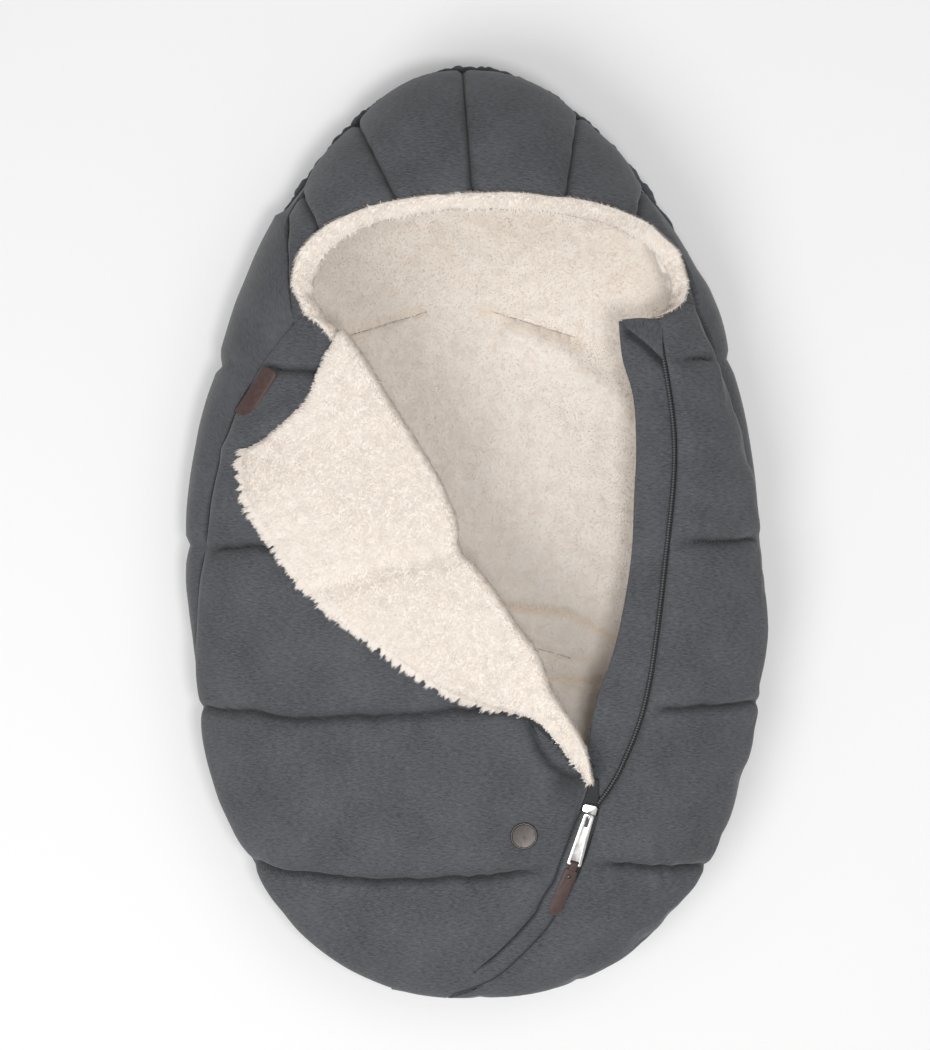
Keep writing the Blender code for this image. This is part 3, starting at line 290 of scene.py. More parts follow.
def blowUp(points, held, slack):
    # cloth that is held at its seams is blown up by its filling; gives how far each point moves
    s = clothSim
    columns = np.unique(np.round(np.linspace(0, points.shape[0] - 1, s["columns"])).astype(int))
    rows = np.unique(np.round(np.linspace(0, points.shape[1] - 1, s["rows"])).astype(int))
    start = points[np.ix_(columns, rows)]
    item = layCloth("clothTrial", start, greyTwill)
    weigh(item, "held", held[np.ix_(columns, rows)], 20)
    weigh(item, "slack", slack[np.ix_(columns, rows)], 20)
    cloth = item.modifiers.new("cloth", "CLOTH")
    fabric = cloth.settings
    fabric.quality = 5
    fabric.tension_stiffness = fabric.compression_stiffness = s["stiffness"]
    fabric.shear_stiffness = s["stiffness"] / 3
    fabric.bending_stiffness = s["bending"]
    fabric.use_pressure = True
    fabric.uniform_pressure_force = s["pressure"]
    fabric.effector_weights.gravity = 0
    fabric.vertex_group_mass = "held"
    fabric.vertex_group_shrink = "slack"
    fabric.shrink_min = s["slackLow"]
    fabric.shrink_max = s["slackHigh"]
    cloth.point_cache.frame_start = 1
    cloth.point_cache.frame_end = s["frames"]
    for step in range(1, s["frames"] + 1):
        bpy.context.scene.frame_set(step)
    blown = item.evaluated_get(bpy.context.evaluated_depsgraph_get())
    found = np.empty(len(blown.data.vertices) * 3, dtype=np.float32)
    blown.data.vertices.foreach_get("co", found)
    bpy.data.objects.remove(item, do_unlink=True)
    bpy.context.scene.frame_set(1)
    ended = np.transpose(found.reshape(start.shape[1], start.shape[0], 3), (1, 0, 2)).astype(float)
    move = ended - start
    reach = np.linalg.norm(move, axis=-1, keepdims=True)
    print("cloth blown out by up to", round(float(reach.max()) * 1000, 2), "mm")
    move = move * np.minimum(1, s["cap"] / np.maximum(reach, 1e-9))
    move = resample(move, columns, points.shape[0])
    move = np.swapaxes(resample(np.swapaxes(move, 0, 1), rows, points.shape[1]), 0, 1)
    for axis in (0, 1):
        for step in range(2):
            middle = [slice(None)] * 3
            middle[axis] = slice(1, -1)
            before, after = list(middle), list(middle)
            before[axis], after[axis] = slice(None, -2), slice(2, None)
            move[tuple(middle)] = (move[tuple(before)] + 2 * move[tuple(middle)] + move[tuple(after)]) / 4
    return move


def seamHold(gap, reach):
    # 1 where the cloth is sewn down, at its four edges and along its seams
    held = np.clip(1.6 - gap / reach, 0, 1)
    held[:2] = held[-2:] = 1
    held[:, :2] = held[:, -3:] = 1
    return held


# materials
def newMaterial(name, colour, roughness, metallic=0.0, sheen=0.0):
    made = bpy.data.materials.new(name)
    made.use_nodes = True
    shader = made.node_tree.nodes["Principled BSDF"]
    shader.inputs["Base Color"].default_value = (*colour, 1.0)
    shader.inputs["Roughness"].default_value = roughness
    shader.inputs["Metallic"].default_value = metallic
    shader.inputs["Sheen Weight"].default_value = sheen
    shader.inputs["Sheen Roughness"].default_value = 0.5
    made.diffuse_color = (*colour, 1.0)
    return made


def addNode(tree, kind, x, y, **settings):
    node = tree.nodes.new("ShaderNode" + kind)
    node.location = (x, y)
    for key, value in settings.items():
        if hasattr(node, key):
            setattr(node, key, value)
        else:
            node.inputs[key.replace("_", " ")].default_value = value
    return node


def wire(tree, *links):
    # each link is a node and its output, then a node and its input
    for source, out, target, into in links:
        tree.links.new(source.outputs[out], target.inputs[into])


def newGroup(name, settings, *results):
    tree = bpy.data.node_groups.new(name, "ShaderNodeTree")
    tree.interface.new_socket(name="Vector", in_out="INPUT", socket_type="NodeSocketVector")
    for label, value in settings:
        socket = tree.interface.new_socket(name=label, in_out="INPUT", socket_type="NodeSocketFloat")
        socket.default_value = value
    for label in results:
        tree.interface.new_socket(name=label, in_out="OUTPUT", socket_type="NodeSocketFloat")
    start = tree.nodes.new("NodeGroupInput")
    start.location = (-900, 0)
    end = tree.nodes.new("NodeGroupOutput")
    end.location = (700, 0)
    return tree, start, end


def twillGroup():
    # broken diagonal ribs of the twill, with lighter slubs in the weft and a slow change of shade
    tree, start, end = newGroup("twillWeave", [("Rib Scale", 1.0), ("Slub Strength", 0.5)], "Tone", "Height")
    turn = addNode(tree, "Mapping", -700, 200, Rotation=(0.0, 0.0, math.radians(38)),
                   Scale=(280.0, 950.0, 1.0))
    rib = addNode(tree, "TexNoise", -500, 200, Detail=2.0, Roughness=0.6, Distortion=0.3)
    slant = addNode(tree, "Mapping", -700, 450, Rotation=(0.0, 0.0, math.radians(-52)))
    wale = addNode(tree, "TexWave", -500, 450, Scale=185.0, Distortion=2.2, Detail=2.0, Detail_Scale=2.0)
    ribbed = addNode(tree, "Mix", -380, 350, data_type="FLOAT", Factor=0.13)
    stretch = addNode(tree, "Mapping", -700, -50, Scale=(170.0, 680.0, 1.0))
    slub = addNode(tree, "TexNoise", -500, -50, Scale=1.0, Detail=2.0, Roughness=0.6)
    cloud = addNode(tree, "TexNoise", -500, -300, Scale=26.0, Detail=3.0)
    blend = addNode(tree, "Mix", -250, 0, data_type="FLOAT")
    shade = addNode(tree, "Math", 0, -100, operation="MULTIPLY_ADD")
    shade.inputs[1].default_value = 0.25
    wire(tree, (start, "Vector", turn, "Vector"), (turn, "Vector", rib, "Vector"),
         (start, "Rib Scale", rib, "Scale"), (start, "Vector", slant, "Vector"), (slant, "Vector", wale, "Vector"),
         (rib, "Fac", ribbed, "A"), (wale, "Fac", ribbed, "B"), (start, "Vector", stretch, "Vector"),
         (stretch, "Vector", slub, "Vector"), (start, "Vector", cloud, "Vector"),
         (start, "Slub Strength", blend, "Factor"), (ribbed, "Result", blend, "A"), (slub, "Fac", blend, "B"),
         (cloud, "Fac", shade, 0), (blend, "Result", shade, 2), (shade, "Value", end, "Tone"),
         (ribbed, "Result", end, "Height"))
    return tree


def mottleGroup():
    # patches of pile that lie in different ways
    tree, start, end = newGroup("pileMottle", [("Patch Scale", 90.0)], "Tone", "Height")
    patch = addNode(tree, "TexNoise", -500, 150, Detail=3.0, Roughness=0.65, Distortion=0.8)
    fibre = addNode(tree, "TexNoise", -500, -150, Scale=900.0, Detail=2.0, Distortion=1.5)
    both = addNode(tree, "Math", -200, 0, operation="MULTIPLY_ADD")
    both.inputs[1].default_value = 0.5
    wire(tree, (start, "Vector", patch, "Vector"), (start, "Patch Scale", patch, "Scale"),
         (start, "Vector", fibre, "Vector"), (fibre, "Fac", both, 0), (patch, "Fac", both, 2),
         (both, "Value", end, "Tone"), (both, "Value", end, "Height"))
    return tree


twillWeave = twillGroup()
pileMottle = mottleGroup()


def clothMaterial(name, dark, light, group, coordinate, bump, roughness, sheen, settings, paintedShadeTint=None):
    made = newMaterial(name, [(a + b) / 2 for a, b in zip(dark, light)], roughness, sheen=sheen)
    tree = made.node_tree
    shader = tree.nodes["Principled BSDF"]
    place = addNode(tree, "TexCoord", -1100, 0)
    pattern = addNode(tree, "Group", -800, 0)
    pattern.node_tree = group
    for key, value in settings.items():
        pattern.inputs[key].default_value = value
    ramp = addNode(tree, "ValToRGB", -550, 100)
    for mark, spot, colour in zip(ramp.color_ramp.elements, toneRange, (dark, light)):
        mark.position, mark.color = spot, (*colour, 1.0)
    wire(tree, (place, coordinate, pattern, "Vector"), (pattern, "Tone", ramp, "Fac"),
         (ramp, "Color", shader, "Base Color"))
    if paintedShadeTint:
        # painted shade: the cloth's colour is darkened down in its seams and creases, where shade falls, by the
        # weights in the crease attribute
        mark = addNode(tree, "Attribute", -550, 350, attribute_name="crease")
        shade = addNode(tree, "Mix", -250, 200, data_type="RGBA", blend_type="MULTIPLY")
        shade.inputs[7].default_value = (*paintedShadeTint, 1.0)
        wire(tree, (mark, "Fac", shade, 0), (ramp, "Color", shade, 6), (shade, 2, shader, "Base Color"))
    relief = addNode(tree, "Bump", -250, -200, Strength=bump[0], Distance=bump[1])
    wire(tree, (pattern, "Height", relief, "Height"), (relief, "Normal", shader, "Normal"))
    return made


toneRange = (0.42, 0.84)    # of the pattern's tone, from the dark colour to the light
fabricLook = {"dark": (0.040, 0.0418, 0.0465), "light": (0.134, 0.139, 0.152)}
fleeceLook = {"dark": (0.850, 0.750, 0.660), "light": (0.985, 0.920, 0.850)}
# the last colour given to each cloth here is the tint of its painted shade in seams and creases
greyTwill = clothMaterial("greyTwill", fabricLook["dark"], fabricLook["light"], twillWeave, "UV",
                          (0.5, 0.0006), 0.92, 0.2, {"Rib Scale": 1.0, "Slub Strength": 0.34},
                          (0.30, 0.30, 0.31))
creamFleece = clothMaterial("creamFleece", fleeceLook["dark"], fleeceLook["light"], pileMottle,
                            "Object", (0.6, 0.0012), 1.0, 0.3, {"Patch Scale": 90.0}, (0.90, 0.80, 0.70))


def pileMaterial():
    # painted shade: fibres are darker at the root, where the pile shades itself, and each has its own tone
    made = newMaterial("creamPile", fleeceLook["light"], 1.0, sheen=0.3)
    tree = made.node_tree
    shader = tree.nodes["Principled BSDF"]
    tone = addNode(tree, "Attribute", -500, 0, attribute_name="fibreTone")
    ramp = addNode(tree, "ValToRGB", -300, 0)
    ramp.color_ramp.elements[0].color = (*fleeceLook["dark"], 1.0)
    ramp.color_ramp.elements[1].color = (*fleeceLook["light"], 1.0)
    wire(tree, (tone, "Fac", ramp, "Fac"), (ramp, "Color", shader, "Base Color"))
    return made


creamPile = pileMaterial()
print("cloth materials ready")


# edges and seams in plan
sideSeam = {
    "share": 0.998,
    "cornerGap": 0.1, "hemGap": 0.3,
    "left": ((124.0, 0.998), (131.5, 0.985), (137.3, 0.892), (141.2, 0.826), (149.4, 0.874), (158.2, 0.920),
             (168.0, 0.943), (176.7, 0.965), (186.0, 0.985), (196.0, 0.998)),
    "right": ((-5.0, 0.998), (8.4, 0.992), (27.2, 0.972), (35.1, 0.957), (39.3, 0.974), (51.1, 0.992),
              (60.0, 0.998)),
    "leftCorner": 141.2, "rightCorner": 35.1, "zipFoot": -97.1,
    "leftFold": 190.6, "leftZip": 196.2, "rightZip": -22.0,
}
foldLine = {"top": (-0.1132, 0.1560), "foot": (0.0884, -0.1956)}
zipPath = {"centre": (-0.10741, -0.18137, 0.0412), "axis": (-0.30033, -0.00049, 0.95384),
           "start": (0.0862, -0.2241, 0.1021), "coverEnd": 45.0, "halfChannel": 0.0076}
rightEdge = ((0.1420, 0.1668), (0.1564, 0.0724), (0.1500, -0.0196),
             (0.1356, -0.1276), (0.1148, -0.1876), (0.0956, -0.2180))
hoodRim = {"centre": (0.0100, 0.1900), "halfWidth": 0.1530, "rise": 0.0712, "power": 2.4,
           "leftEnd": (-0.1322, 0.1694), "rightEnd": (0.1590, 0.1800), "straight": 0.08,
           "focus": (0.0112, 0.1200)}
goreSeams = ((128.2, 0.224), (114.0, 0.385), (91.3, 0.483), (67.6, 0.585), (52.4, 0.711))


def seamShare(angle):
    angle = np.mod(np.asarray(angle, dtype=float) + 90, 360) - 90
    share = np.full(angle.shape, sideSeam["share"])
    for side in ("left", "right"):
        turns, values = zip(*sideSeam[side])
        inside = (angle >= turns[0]) & (angle <= turns[-1])
        share = np.where(inside, np.interp(angle, turns, values), share)
    return share


def smoothCurve(points, way):
    # Catmull-Rom through the points, at ways from 0 to 1 by their count
    points = np.asarray(points, dtype=float)
    last = len(points) - 1
    spot = np.clip(way, 0.0, 1.0) * last
    index = np.minimum(spot.astype(int), last - 1)
    t = (spot - index)[..., None]
    p0, p1, p2, p3 = (points[np.clip(index + step, 0, last)] for step in (-1, 0, 1, 2))
    value = 2 * p1 + (p2 - p0) * t
    value += (2 * p0 - 5 * p1 + 4 * p2 - p3) * t ** 2
    value += (3 * p1 - p0 - 3 * p2 + p3) * t ** 3
    return value / 2


def sideways(points, offset):
    # moves a run of plan points to the right of its travel
    run = np.gradient(points, axis=0)
    run /= np.maximum(np.linalg.norm(run, axis=-1, keepdims=True), 1e-12)
    offset = np.asarray(offset)
    offset = offset[..., None] if offset.ndim else offset
    return points + np.stack([run[..., 1], -run[..., 0]], axis=-1) * offset


def zipPoint(travel):
    centre = Vector(zipPath["centre"])
    arm = Vector(zipPath["start"]) - centre
    axis = Vector(zipPath["axis"])
    return np.array([centre + Matrix.Rotation(-math.radians(t), 3, axis) @ arm
                     for t in np.atleast_1d(travel)])


def besideZip(travel, offset):
    # plan points along the closed zip, moved to the right of its travel
    ahead = zipPoint(travel + 0.5)[:, :2] - zipPoint(travel - 0.5)[:, :2]
    ahead /= np.linalg.norm(ahead, axis=-1, keepdims=True)
    return zipPoint(travel)[:, :2] + np.stack([ahead[:, 1], -ahead[:, 0]], axis=-1) * offset


def foldPoint(way, inset=0.0):
    top = np.array(foldLine["top"])
    foot = np.array(foldLine["foot"])
    run = (foot - top) / np.linalg.norm(foot - top)
    return top + (foot - top) * way[..., None] + np.array([run[1], -run[0]]) * inset


def rimPoint(way):
    r = hoodRim
    centre = np.array(r["centre"])
    left = centre - [r["halfWidth"], 0]
    right = centre + [r["halfWidth"], 0]
    turn = math.pi * (1 - (way - r["straight"]) / (1 - 2 * r["straight"]))
    flat = 2 / r["power"]
    arch = np.stack([centre[0] + r["halfWidth"] * np.sign(np.cos(turn)) * np.abs(np.cos(turn)) ** flat,
                     centre[1] + r["rise"] * np.abs(np.sin(turn)) ** flat], axis=-1)
    start = (way / r["straight"])[..., None]
    finish = ((way - 1 + r["straight"]) / r["straight"])[..., None]
    low = np.array(r["leftEnd"]) + (left - np.array(r["leftEnd"])) * start
    high = right + (np.array(r["rightEnd"]) - right) * finish
    result = np.where(start < 1, low, arch)
    return np.where(finish > 0, high, result)


def rimInset(way, distance):
    point = rimPoint(way)
    run = np.array(hoodRim["focus"]) - point
    return point + run / np.linalg.norm(run, axis=-1, keepdims=True) * distance


def leftCoverEdge(angle, zipInset=0.0, foldInset=0.0):
    foot = sideSeam["zipFoot"] + 360
    travel = zipPath["coverEnd"] * (angle - sideSeam["leftZip"]) / (foot - sideSeam["leftZip"])
    onZip = besideZip(np.maximum(travel, 0.0), zipPath["halfChannel"] + zipInset)
    way = (angle - sideSeam["leftCorner"]) / (sideSeam["leftFold"] - sideSeam["leftCorner"])
    onFold = foldPoint(np.clip(way, 0.0, 1.0), foldInset)
    return np.where((angle >= sideSeam["leftZip"])[:, None], onZip, onFold)


def rightCoverEdge(angle, zipInset=0.0):
    foot = sideSeam["zipFoot"]
    travel = zipPath["coverEnd"] * (sideSeam["rightZip"] - angle) / (sideSeam["rightZip"] - foot)
    onZip = besideZip(np.maximum(travel, 0.0), -(zipPath["halfChannel"] + zipInset))
    way = (sideSeam["rightCorner"] - angle) / (sideSeam["rightCorner"] - sideSeam["rightZip"])
    way = np.clip(way, 0.0, 1.0)
    before = smoothCurve(rightEdge, way - 0.01)
    after = smoothCurve(rightEdge, way + 0.01)
    run = (after - before) / np.linalg.norm(after - before, axis=-1, keepdims=True)
    onOpen = smoothCurve(rightEdge, way) - np.stack([run[:, 1], -run[:, 0]], axis=-1) * zipInset
    return np.where((angle <= sideSeam["rightZip"])[:, None], onZip, onOpen)


# quilting
quilt = {
    "left": (((-0.235, 0.136), (-0.127, 0.124)),
             ((-0.235, -0.014), (-0.10, -0.014)),
             ((-0.235, -0.140), (-0.14, -0.149), (0.03, -0.140), (0.10, -0.136)),
             ((-0.235, -0.262), (-0.10, -0.277), (0.00, -0.275), (0.10, -0.262))),
    "right": (((0.10, 0.133), (0.235, 0.138)),
              ((0.10, -0.010), (0.235, -0.008)),
              ((0.08, -0.142), (0.235, -0.138)),
              ((0.02, -0.268), (0.10, -0.264), (0.22, -0.270))),
    "ends": (0.300, -0.400), "crest": 0.0050, "groove": 0.0070, "width": 0.0034, "power": 0.50,
    "waver": (0.0013, 0.0008), "pucker": 0.0026, "puckerReach": 0.014, "slack": (0.0018, 0.0007),
}


def quiltRise(x, y, side, seed):
    # channels swell between their seams, and the cloth puckers along each seam
    q = quilt
    waver = (q["waver"][0] * softNoise(x / 0.020, x * 0 + seed, seed)
             + q["waver"][1] * softNoise(x / 0.008, x * 0 + seed, seed + 1))
    lines = [np.interp(x, *zip(*seam)) + waver for seam in q[side]]
    lines = [np.full_like(x, q["ends"][0])] + lines + [np.full_like(x, q["ends"][1])]
    stack = np.stack(lines)
    below = (stack > y).sum(axis=0).clip(1, len(lines) - 1)
    high = np.take_along_axis(stack, (below - 1)[None], axis=0)[0]
    low = np.take_along_axis(stack, below[None], axis=0)[0]
    t = np.clip((y - low) / (high - low), 0.0, 1.0)
    gap = np.abs(stack[1:-1] - y).min(axis=0)
    rise = q["crest"] * np.sin(math.pi * t) ** q["power"]
    near = np.exp(-gap / q["puckerReach"])
    pucker = softNoise(x / 0.009, y / 0.030, seed) * 0.8 + softNoise(x / 0.022, y / 0.045, seed + 3)
    rise += near * pucker * q["pucker"]
    slack = (softNoise(x / 0.075, y / 0.040, seed + 5) * q["slack"][0]
             + softNoise(x / 0.030, y / 0.020, seed + 7) * q["slack"][1])
    groove = q["groove"] * np.exp(-(gap / q["width"]) ** 1.4)
    return rise + slack, groove, gap


def roundFade(points, inner, outer):
    # 1 in the middle and a quarter round down to 0 at the free edge and at the seam
    run = runLength(points, 1)
    free = np.clip(run / inner, 0, 1)
    seam = np.clip((run[:, -1:] - run) / outer, 0, 1)
    return quarterRound(free) * quarterRound(seam)


flatSpots = {"badge": (0.0356, -0.2404), "badgeReach": 0.020,
             "pull": ((0.0862, -0.2241), (0.0749, -0.2632), (0.0610, -0.3040)), "pullReach": 0.014,
             "bulge": ((0.0410, -0.1525), (0.0455, -0.1690), (0.0550, -0.1830), (0.0675, -0.1920), (0.0800, -0.1955))}
slackFolds = {"left": ((((-0.125, 0.108), (-0.172, 0.080), (-0.196, 0.064)), 0.0042, 0.009),
                       (((-0.190, -0.030), (-0.150, -0.048), (-0.110, -0.060)), 0.0020, 0.010)),
              "right": ((((0.150, 0.020), (0.180, 0.004), (0.200, -0.030)), 0.0024, 0.010),
                        (((0.135, -0.245), (0.142, -0.285)), 0.0026, 0.005),
                        (((0.152, -0.250), (0.150, -0.280)), 0.0022, 0.004))}


def pressFlat(x, y):
    # the quilting is held down round the badge and under the pull
    badge = np.hypot(x - flatSpots["badge"][0], y - flatSpots["badge"][1])
    pull = lineGap(x, y, flatSpots["pull"])
    return ((1 - 0.96 * np.exp(-(badge / flatSpots["badgeReach"]) ** 4))
            * (1 - 0.9 * np.exp(-(pull / flatSpots["pullReach"]) ** 2)))


def lineGap(x, y, line):
    # distance from a run of straight lines in plan
    gap = np.full(x.shape, 1.0)
    for (ax, ay), (bx, by) in zip(line, line[1:]):
        dx, dy = bx - ax, by - ay
        t = np.clip(((x - ax) * dx + (y - ay) * dy) / (dx * dx + dy * dy), 0, 1)
        gap = np.minimum(gap, np.hypot(x - ax - dx * t, y - ay - dy * t))
    return gap


def edgeFall(points, outerDrop, outerReach, innerDrop, innerReach):
    # the cloth rolls down into the seam at its outer edge and at its free edge
    run = runLength(points, 1)
    outer = run[:, -1:] - run
    return -outerDrop * np.exp(-(outer / outerReach) ** 1.3) - innerDrop * np.exp(-(run / innerReach) ** 1.3)


def loftNear(points, reach):
    # 1 in the middle of a pad and towards 0 at its edges, in a quarter round
    run = runLength(points, 1)
    side = runLength(points, 0)
    gap = np.minimum(np.minimum(run, run[:, -1:] - run), np.minimum(side, side[-1:] - side))
    t = np.clip(gap / reach, 0.0, 1.0)
    return quarterRound(t)


# covers
coverPad = {"columns": 430, "hemColumns": 14, "rows": 106, "thickness": 0.0115, "edgeReach": 0.012,
            "seamDrop": 0.0035, "seamReach": 0.007, "edgeDrop": 0.0012, "edgeDropReach": 0.006,
            "quiltFade": (0.020, 0.012), "grooveFade": (0.030, 0.016), "foldFade": 0.02,
            "dipUnderBulge": 0.0012, "dipReach": 0.0040, "heldReach": 0.0035, "slackReach": 0.016}


def coverGrid(angles, edge, rows, depth=0.0, short=0.001):
    # from a free edge out to the side seam, or short of it
    outer = planPoint(angles, seamShare(angles) - short, depth)
    way = np.sin(0.5 * math.pi * np.linspace(0, 1, rows))
    plan = edge[:, None] + (outer - edge)[:, None] * way[None, :, None]
    return onDome(plan, depth)


def makeCover(name, side, angles, edge, seed):
    c = coverPad
    base = faceUp(coverGrid(angles, edge, c["rows"]))
    normal = gridNormals(base)
    x, y = base[..., 0], base[..., 1]
    rise, groove, gap = quiltRise(x, y, side, seed)
    rise = rise * roundFade(base, *c["quiltFade"]) * pressFlat(x, y)
    run = runLength(base, 1)
    inner, outer = c["grooveFade"]
    groove = groove * np.clip(run / inner, 0, 1) * np.clip((run[:, -1:] - run) / outer, 0, 1)
    free = np.clip(pressFlat(x, y), 0, 1)
    groove = groove * free
    # painted shade: the cloth's colour is darkened down the quilting grooves
    crease = (groove / quilt["groove"]) ** 2.5
    rise -= groove
    for line, height, width in slackFolds[side]:
        rise += height * np.exp(-(lineGap(x, y, line) / width) ** 2) * np.clip(run / c["foldFade"], 0, 1)
    # painted shadow: the left cover's colour is darkened along the foot of the flap's bulge, and the cloth dips there
    under = np.exp(-(lineGap(x, y, flatSpots["bulge"]) / c["dipReach"]) ** 2) * (side == "left")
    crease = np.maximum(crease, 0.9 * under)
    rise -= c["dipUnderBulge"] * under
    rise += edgeFall(base, c["seamDrop"], c["seamReach"], c["edgeDrop"], c["edgeDropReach"])
    points = base + normal * rise[..., None]
    held = np.maximum(seamHold(gap, c["heldReach"]), 1 - free)
    points = points + blowUp(points, held, np.exp(-gap / c["slackReach"])) * free[..., None]
    return layCloth(name, points, greyTwill, c["thickness"], loftNear(base, c["edgeReach"]), clothUv(base),
                    crease=crease)


def withCorner(angles, edge, corner, last):
    # a few more columns carry the cover along its top hem to the corner of the hood
    count = coverPad["hemColumns"]
    way = np.linspace(0, 1, count + 1)[1:, None]
    hem = edge[-1] * (1 - way) + np.array(corner) * way
    return (np.concatenate([angles, np.linspace(angles[-1], last, count + 1)[1:]]), np.concatenate([edge, hem]))


cornerGap, hemGap = sideSeam["cornerGap"], sideSeam["hemGap"]
hoodTurns = (sideSeam["leftCorner"] - cornerGap, sideSeam["rightCorner"] + cornerGap)
turns = np.linspace(sideSeam["zipFoot"] + 360 - cornerGap, sideSeam["leftCorner"] + hemGap, coverPad["columns"])
turns, edge = withCorner(turns, leftCoverEdge(turns), hoodRim["leftEnd"], hoodTurns[0])
leftPad = makeCover("leftCoverPad", "left", turns, edge, 11)
turns = np.linspace(sideSeam["zipFoot"] + cornerGap, sideSeam["rightCorner"] - hemGap, coverPad["columns"])
turns, edge = withCorner(turns, rightCoverEdge(turns), hoodRim["rightEnd"], hoodTurns[1])
rightPad = makeCover("rightCoverPad", "right", turns, edge, 23)
settle(leftPad, "muff", "shell", "left_cover_shell", "left_cover_wadding", fill=0.5)
settle(rightPad, "muff", "shell", "right_cover_shell", "right_cover_wadding", fill=0.5)
print("covers laid")


# back: padded bowl, open at the top
backPad = {"columns": 360, "rows": 90, "thickness": 0.0112, "floorShare": 0.72,
           "fall": {"behindHood": -0.0010, "elsewhere": -0.0050, "reach": 0.010},
           "sideFrom": 0.80, "sideReach": 0.12, "quiltShare": (0.25, 0.45),
           "sideBulge": (0.004, 0.002), "bulgeTop": 0.105, "least": 0.0004}


def backGrid(depth, columns, rows):
    # from the middle of the flat back, round the side and up to the side seam
    angles = np.linspace(0, 360, columns + 1)
    top = seamShare(angles) + 0.001
    floorRows = int(rows * backPad["floorShare"])
    share = np.sin(0.5 * math.pi * np.linspace(0, 1, floorRows))
    plan = planPoint(angles[:, None], share[None, :], depth)
    z = floorHeight(np.broadcast_to(share, plan.shape[:2]), depth)
    low = np.concatenate([plan, z[..., None]], axis=-1)
    full = 0.5 * math.pi
    seam = np.arcsin(np.clip(top, 0, 1) ** (muffForm["domePower"] / 2))
    way = np.linspace(0, 1, rows - floorRows + 1)[1:]
    turn = full + (seam[:, None] - full) * way[None, :]
    high = onDome(planPoint(angles[:, None], np.sin(turn) ** (2 / muffForm["domePower"]), depth), depth)
    return np.concatenate([low, high], axis=1)


def makeBack():
    b = backPad
    base = backGrid(0.0, b["columns"], b["rows"])
    normal = gridNormals(base, wrap=True)
    outward = (normal[..., 0] * base[..., 0] + normal[..., 1] * (base[..., 1] + 0.05)).mean()
    if outward < 0:
        base = base[::-1]
        normal = gridNormals(base, wrap=True)
    x, y, z = base[..., 0], base[..., 1], base[..., 2]
    leftRise, leftGroove = quiltRise(x, y, "left", 31)[:2]
    rightRise, rightGroove = quiltRise(x, y, "right", 31)[:2]
    rise = np.where(x < 0, leftRise - leftGroove, rightRise - rightGroove)
    side = np.clip((outlineShare(x, y) - b["sideFrom"]) / b["sideReach"], 0.0, 1.0)
    angles = np.linspace(0, 360, base.shape[0])
    highSide = np.clip((0.992 - seamShare(angles)) / 0.03, 0, 1)[:, None]
    out, back = b["sideBulge"]
    bulge = np.sin(math.pi * np.clip(z / b["bulgeTop"], 0, 1)) * (out * highSide - back * (1 - highSide))
    run = runLength(base, 1)
    behindHood = ((angles > sideSeam["rightCorner"]) & (angles < sideSeam["leftCorner"]))[:, None]
    fall = np.where(behindHood, b["fall"]["behindHood"], b["fall"]["elsewhere"])
    fall = fall * np.exp(-((run[:, -1:] - run) / b["fall"]["reach"]) ** 1.3)
    least, more = b["quiltShare"]
    points = base + normal * ((rise * (least + more * highSide) + bulge) * side + fall)[..., None]
    points[..., 2] = np.maximum(points[..., 2], b["least"])
    points[-1] = points[0]
    return layCloth("backPad", points, greyTwill, b["thickness"], uv=clothUv(base), closeRing=True)


backCloth = settle(makeBack(), "muff", "shell", "back_shell", "back_wadding", fill=0.4)


# fleece inside
def fleeceLumps(x, y, seed, size=0.011, height=0.0011):
    lumps = softNoise(x / size, y / size, seed) + 0.6 * softNoise(x / size * 2.1, y / size * 2.1, seed + 1)
    return lumps * height


innerFleece = {"columns": 300, "rows": 110, "thickness": 0.0055,
               "shoulderLeft": ((-0.105, 0.158), (-0.046, 0.178)),
               "shoulderRight": ((0.004, 0.177), (0.084, 0.152)),
               "wrinkle": ((0.029, 0.160), (0.070, 0.140), (0.117, 0.104)),
               "folds": (((-0.060, -0.050), (0.0388, -0.0636), (0.0732, -0.0676), (0.1150, -0.0900)),
                         ((-0.060, -0.070), (0.0388, -0.0876), (0.0660, -0.1036), (0.1150, -0.1090)),
                         ((-0.060, -0.115), (0.0524, -0.1204), (0.1100, -0.1235))),
               "foldDepth": (0.0028, 0.0016, 0.0030), "shoulderDepth": 0.0020, "creaseWidth": 0.0035,
               "depth": 0.0193, "roll": 0.006, "wrinkleRise": 0.007, "wrinkleWidth": 0.012,
               "coverDepth": 0.0135, "hoodShort": 0.030, "footTurns": (256.8, -78.6)}


def makeInnerFleece():
    f = innerFleece
    base = backGrid(f["depth"], f["columns"], f["rows"])
    normal = gridNormals(base, wrap=True)
    if normal[:, :20, 2].mean() < 0:
        base = base[::-1]
        normal = gridNormals(base, wrap=True)
    x, y = base[..., 0], base[..., 1]
    rise = fleeceLumps(x, y, 3) + f["roll"] * softNoise(x / 0.11, y / 0.09, 9)
    # painted shade: the fleece's colour is darkened in its folds and along the shoulder creases
    crease = np.zeros(x.shape)
    low = base[..., 2] < muffForm["seamHeight"]
    creases = [(f[side], f["shoulderDepth"]) for side in ("shoulderLeft", "shoulderRight")]
    creases += zip(f["folds"], f["foldDepth"])
    for line, depth in creases:
        dip = np.exp(-(lineGap(x, y, line) / f["creaseWidth"]) ** 1.5) * low
        rise -= depth * dip
        crease = np.maximum(crease, dip * min(1.0, depth / 0.0030))
    gap = lineGap(x, y, f["wrinkle"])
    rise += f["wrinkleRise"] * np.exp(-(gap / f["wrinkleWidth"]) ** 2)
    points = base + normal * rise[..., None]
    points[-1] = points[0]
    return points, layCloth("backFleece", points, creamFleece, f["thickness"], uv=clothUv(base),
                            closeRing=True, crease=crease)


bowlPoints, bowlFleece = makeInnerFleece()
settle(bowlFleece, "muff", "fleece", "back_lining", fill=0.3)


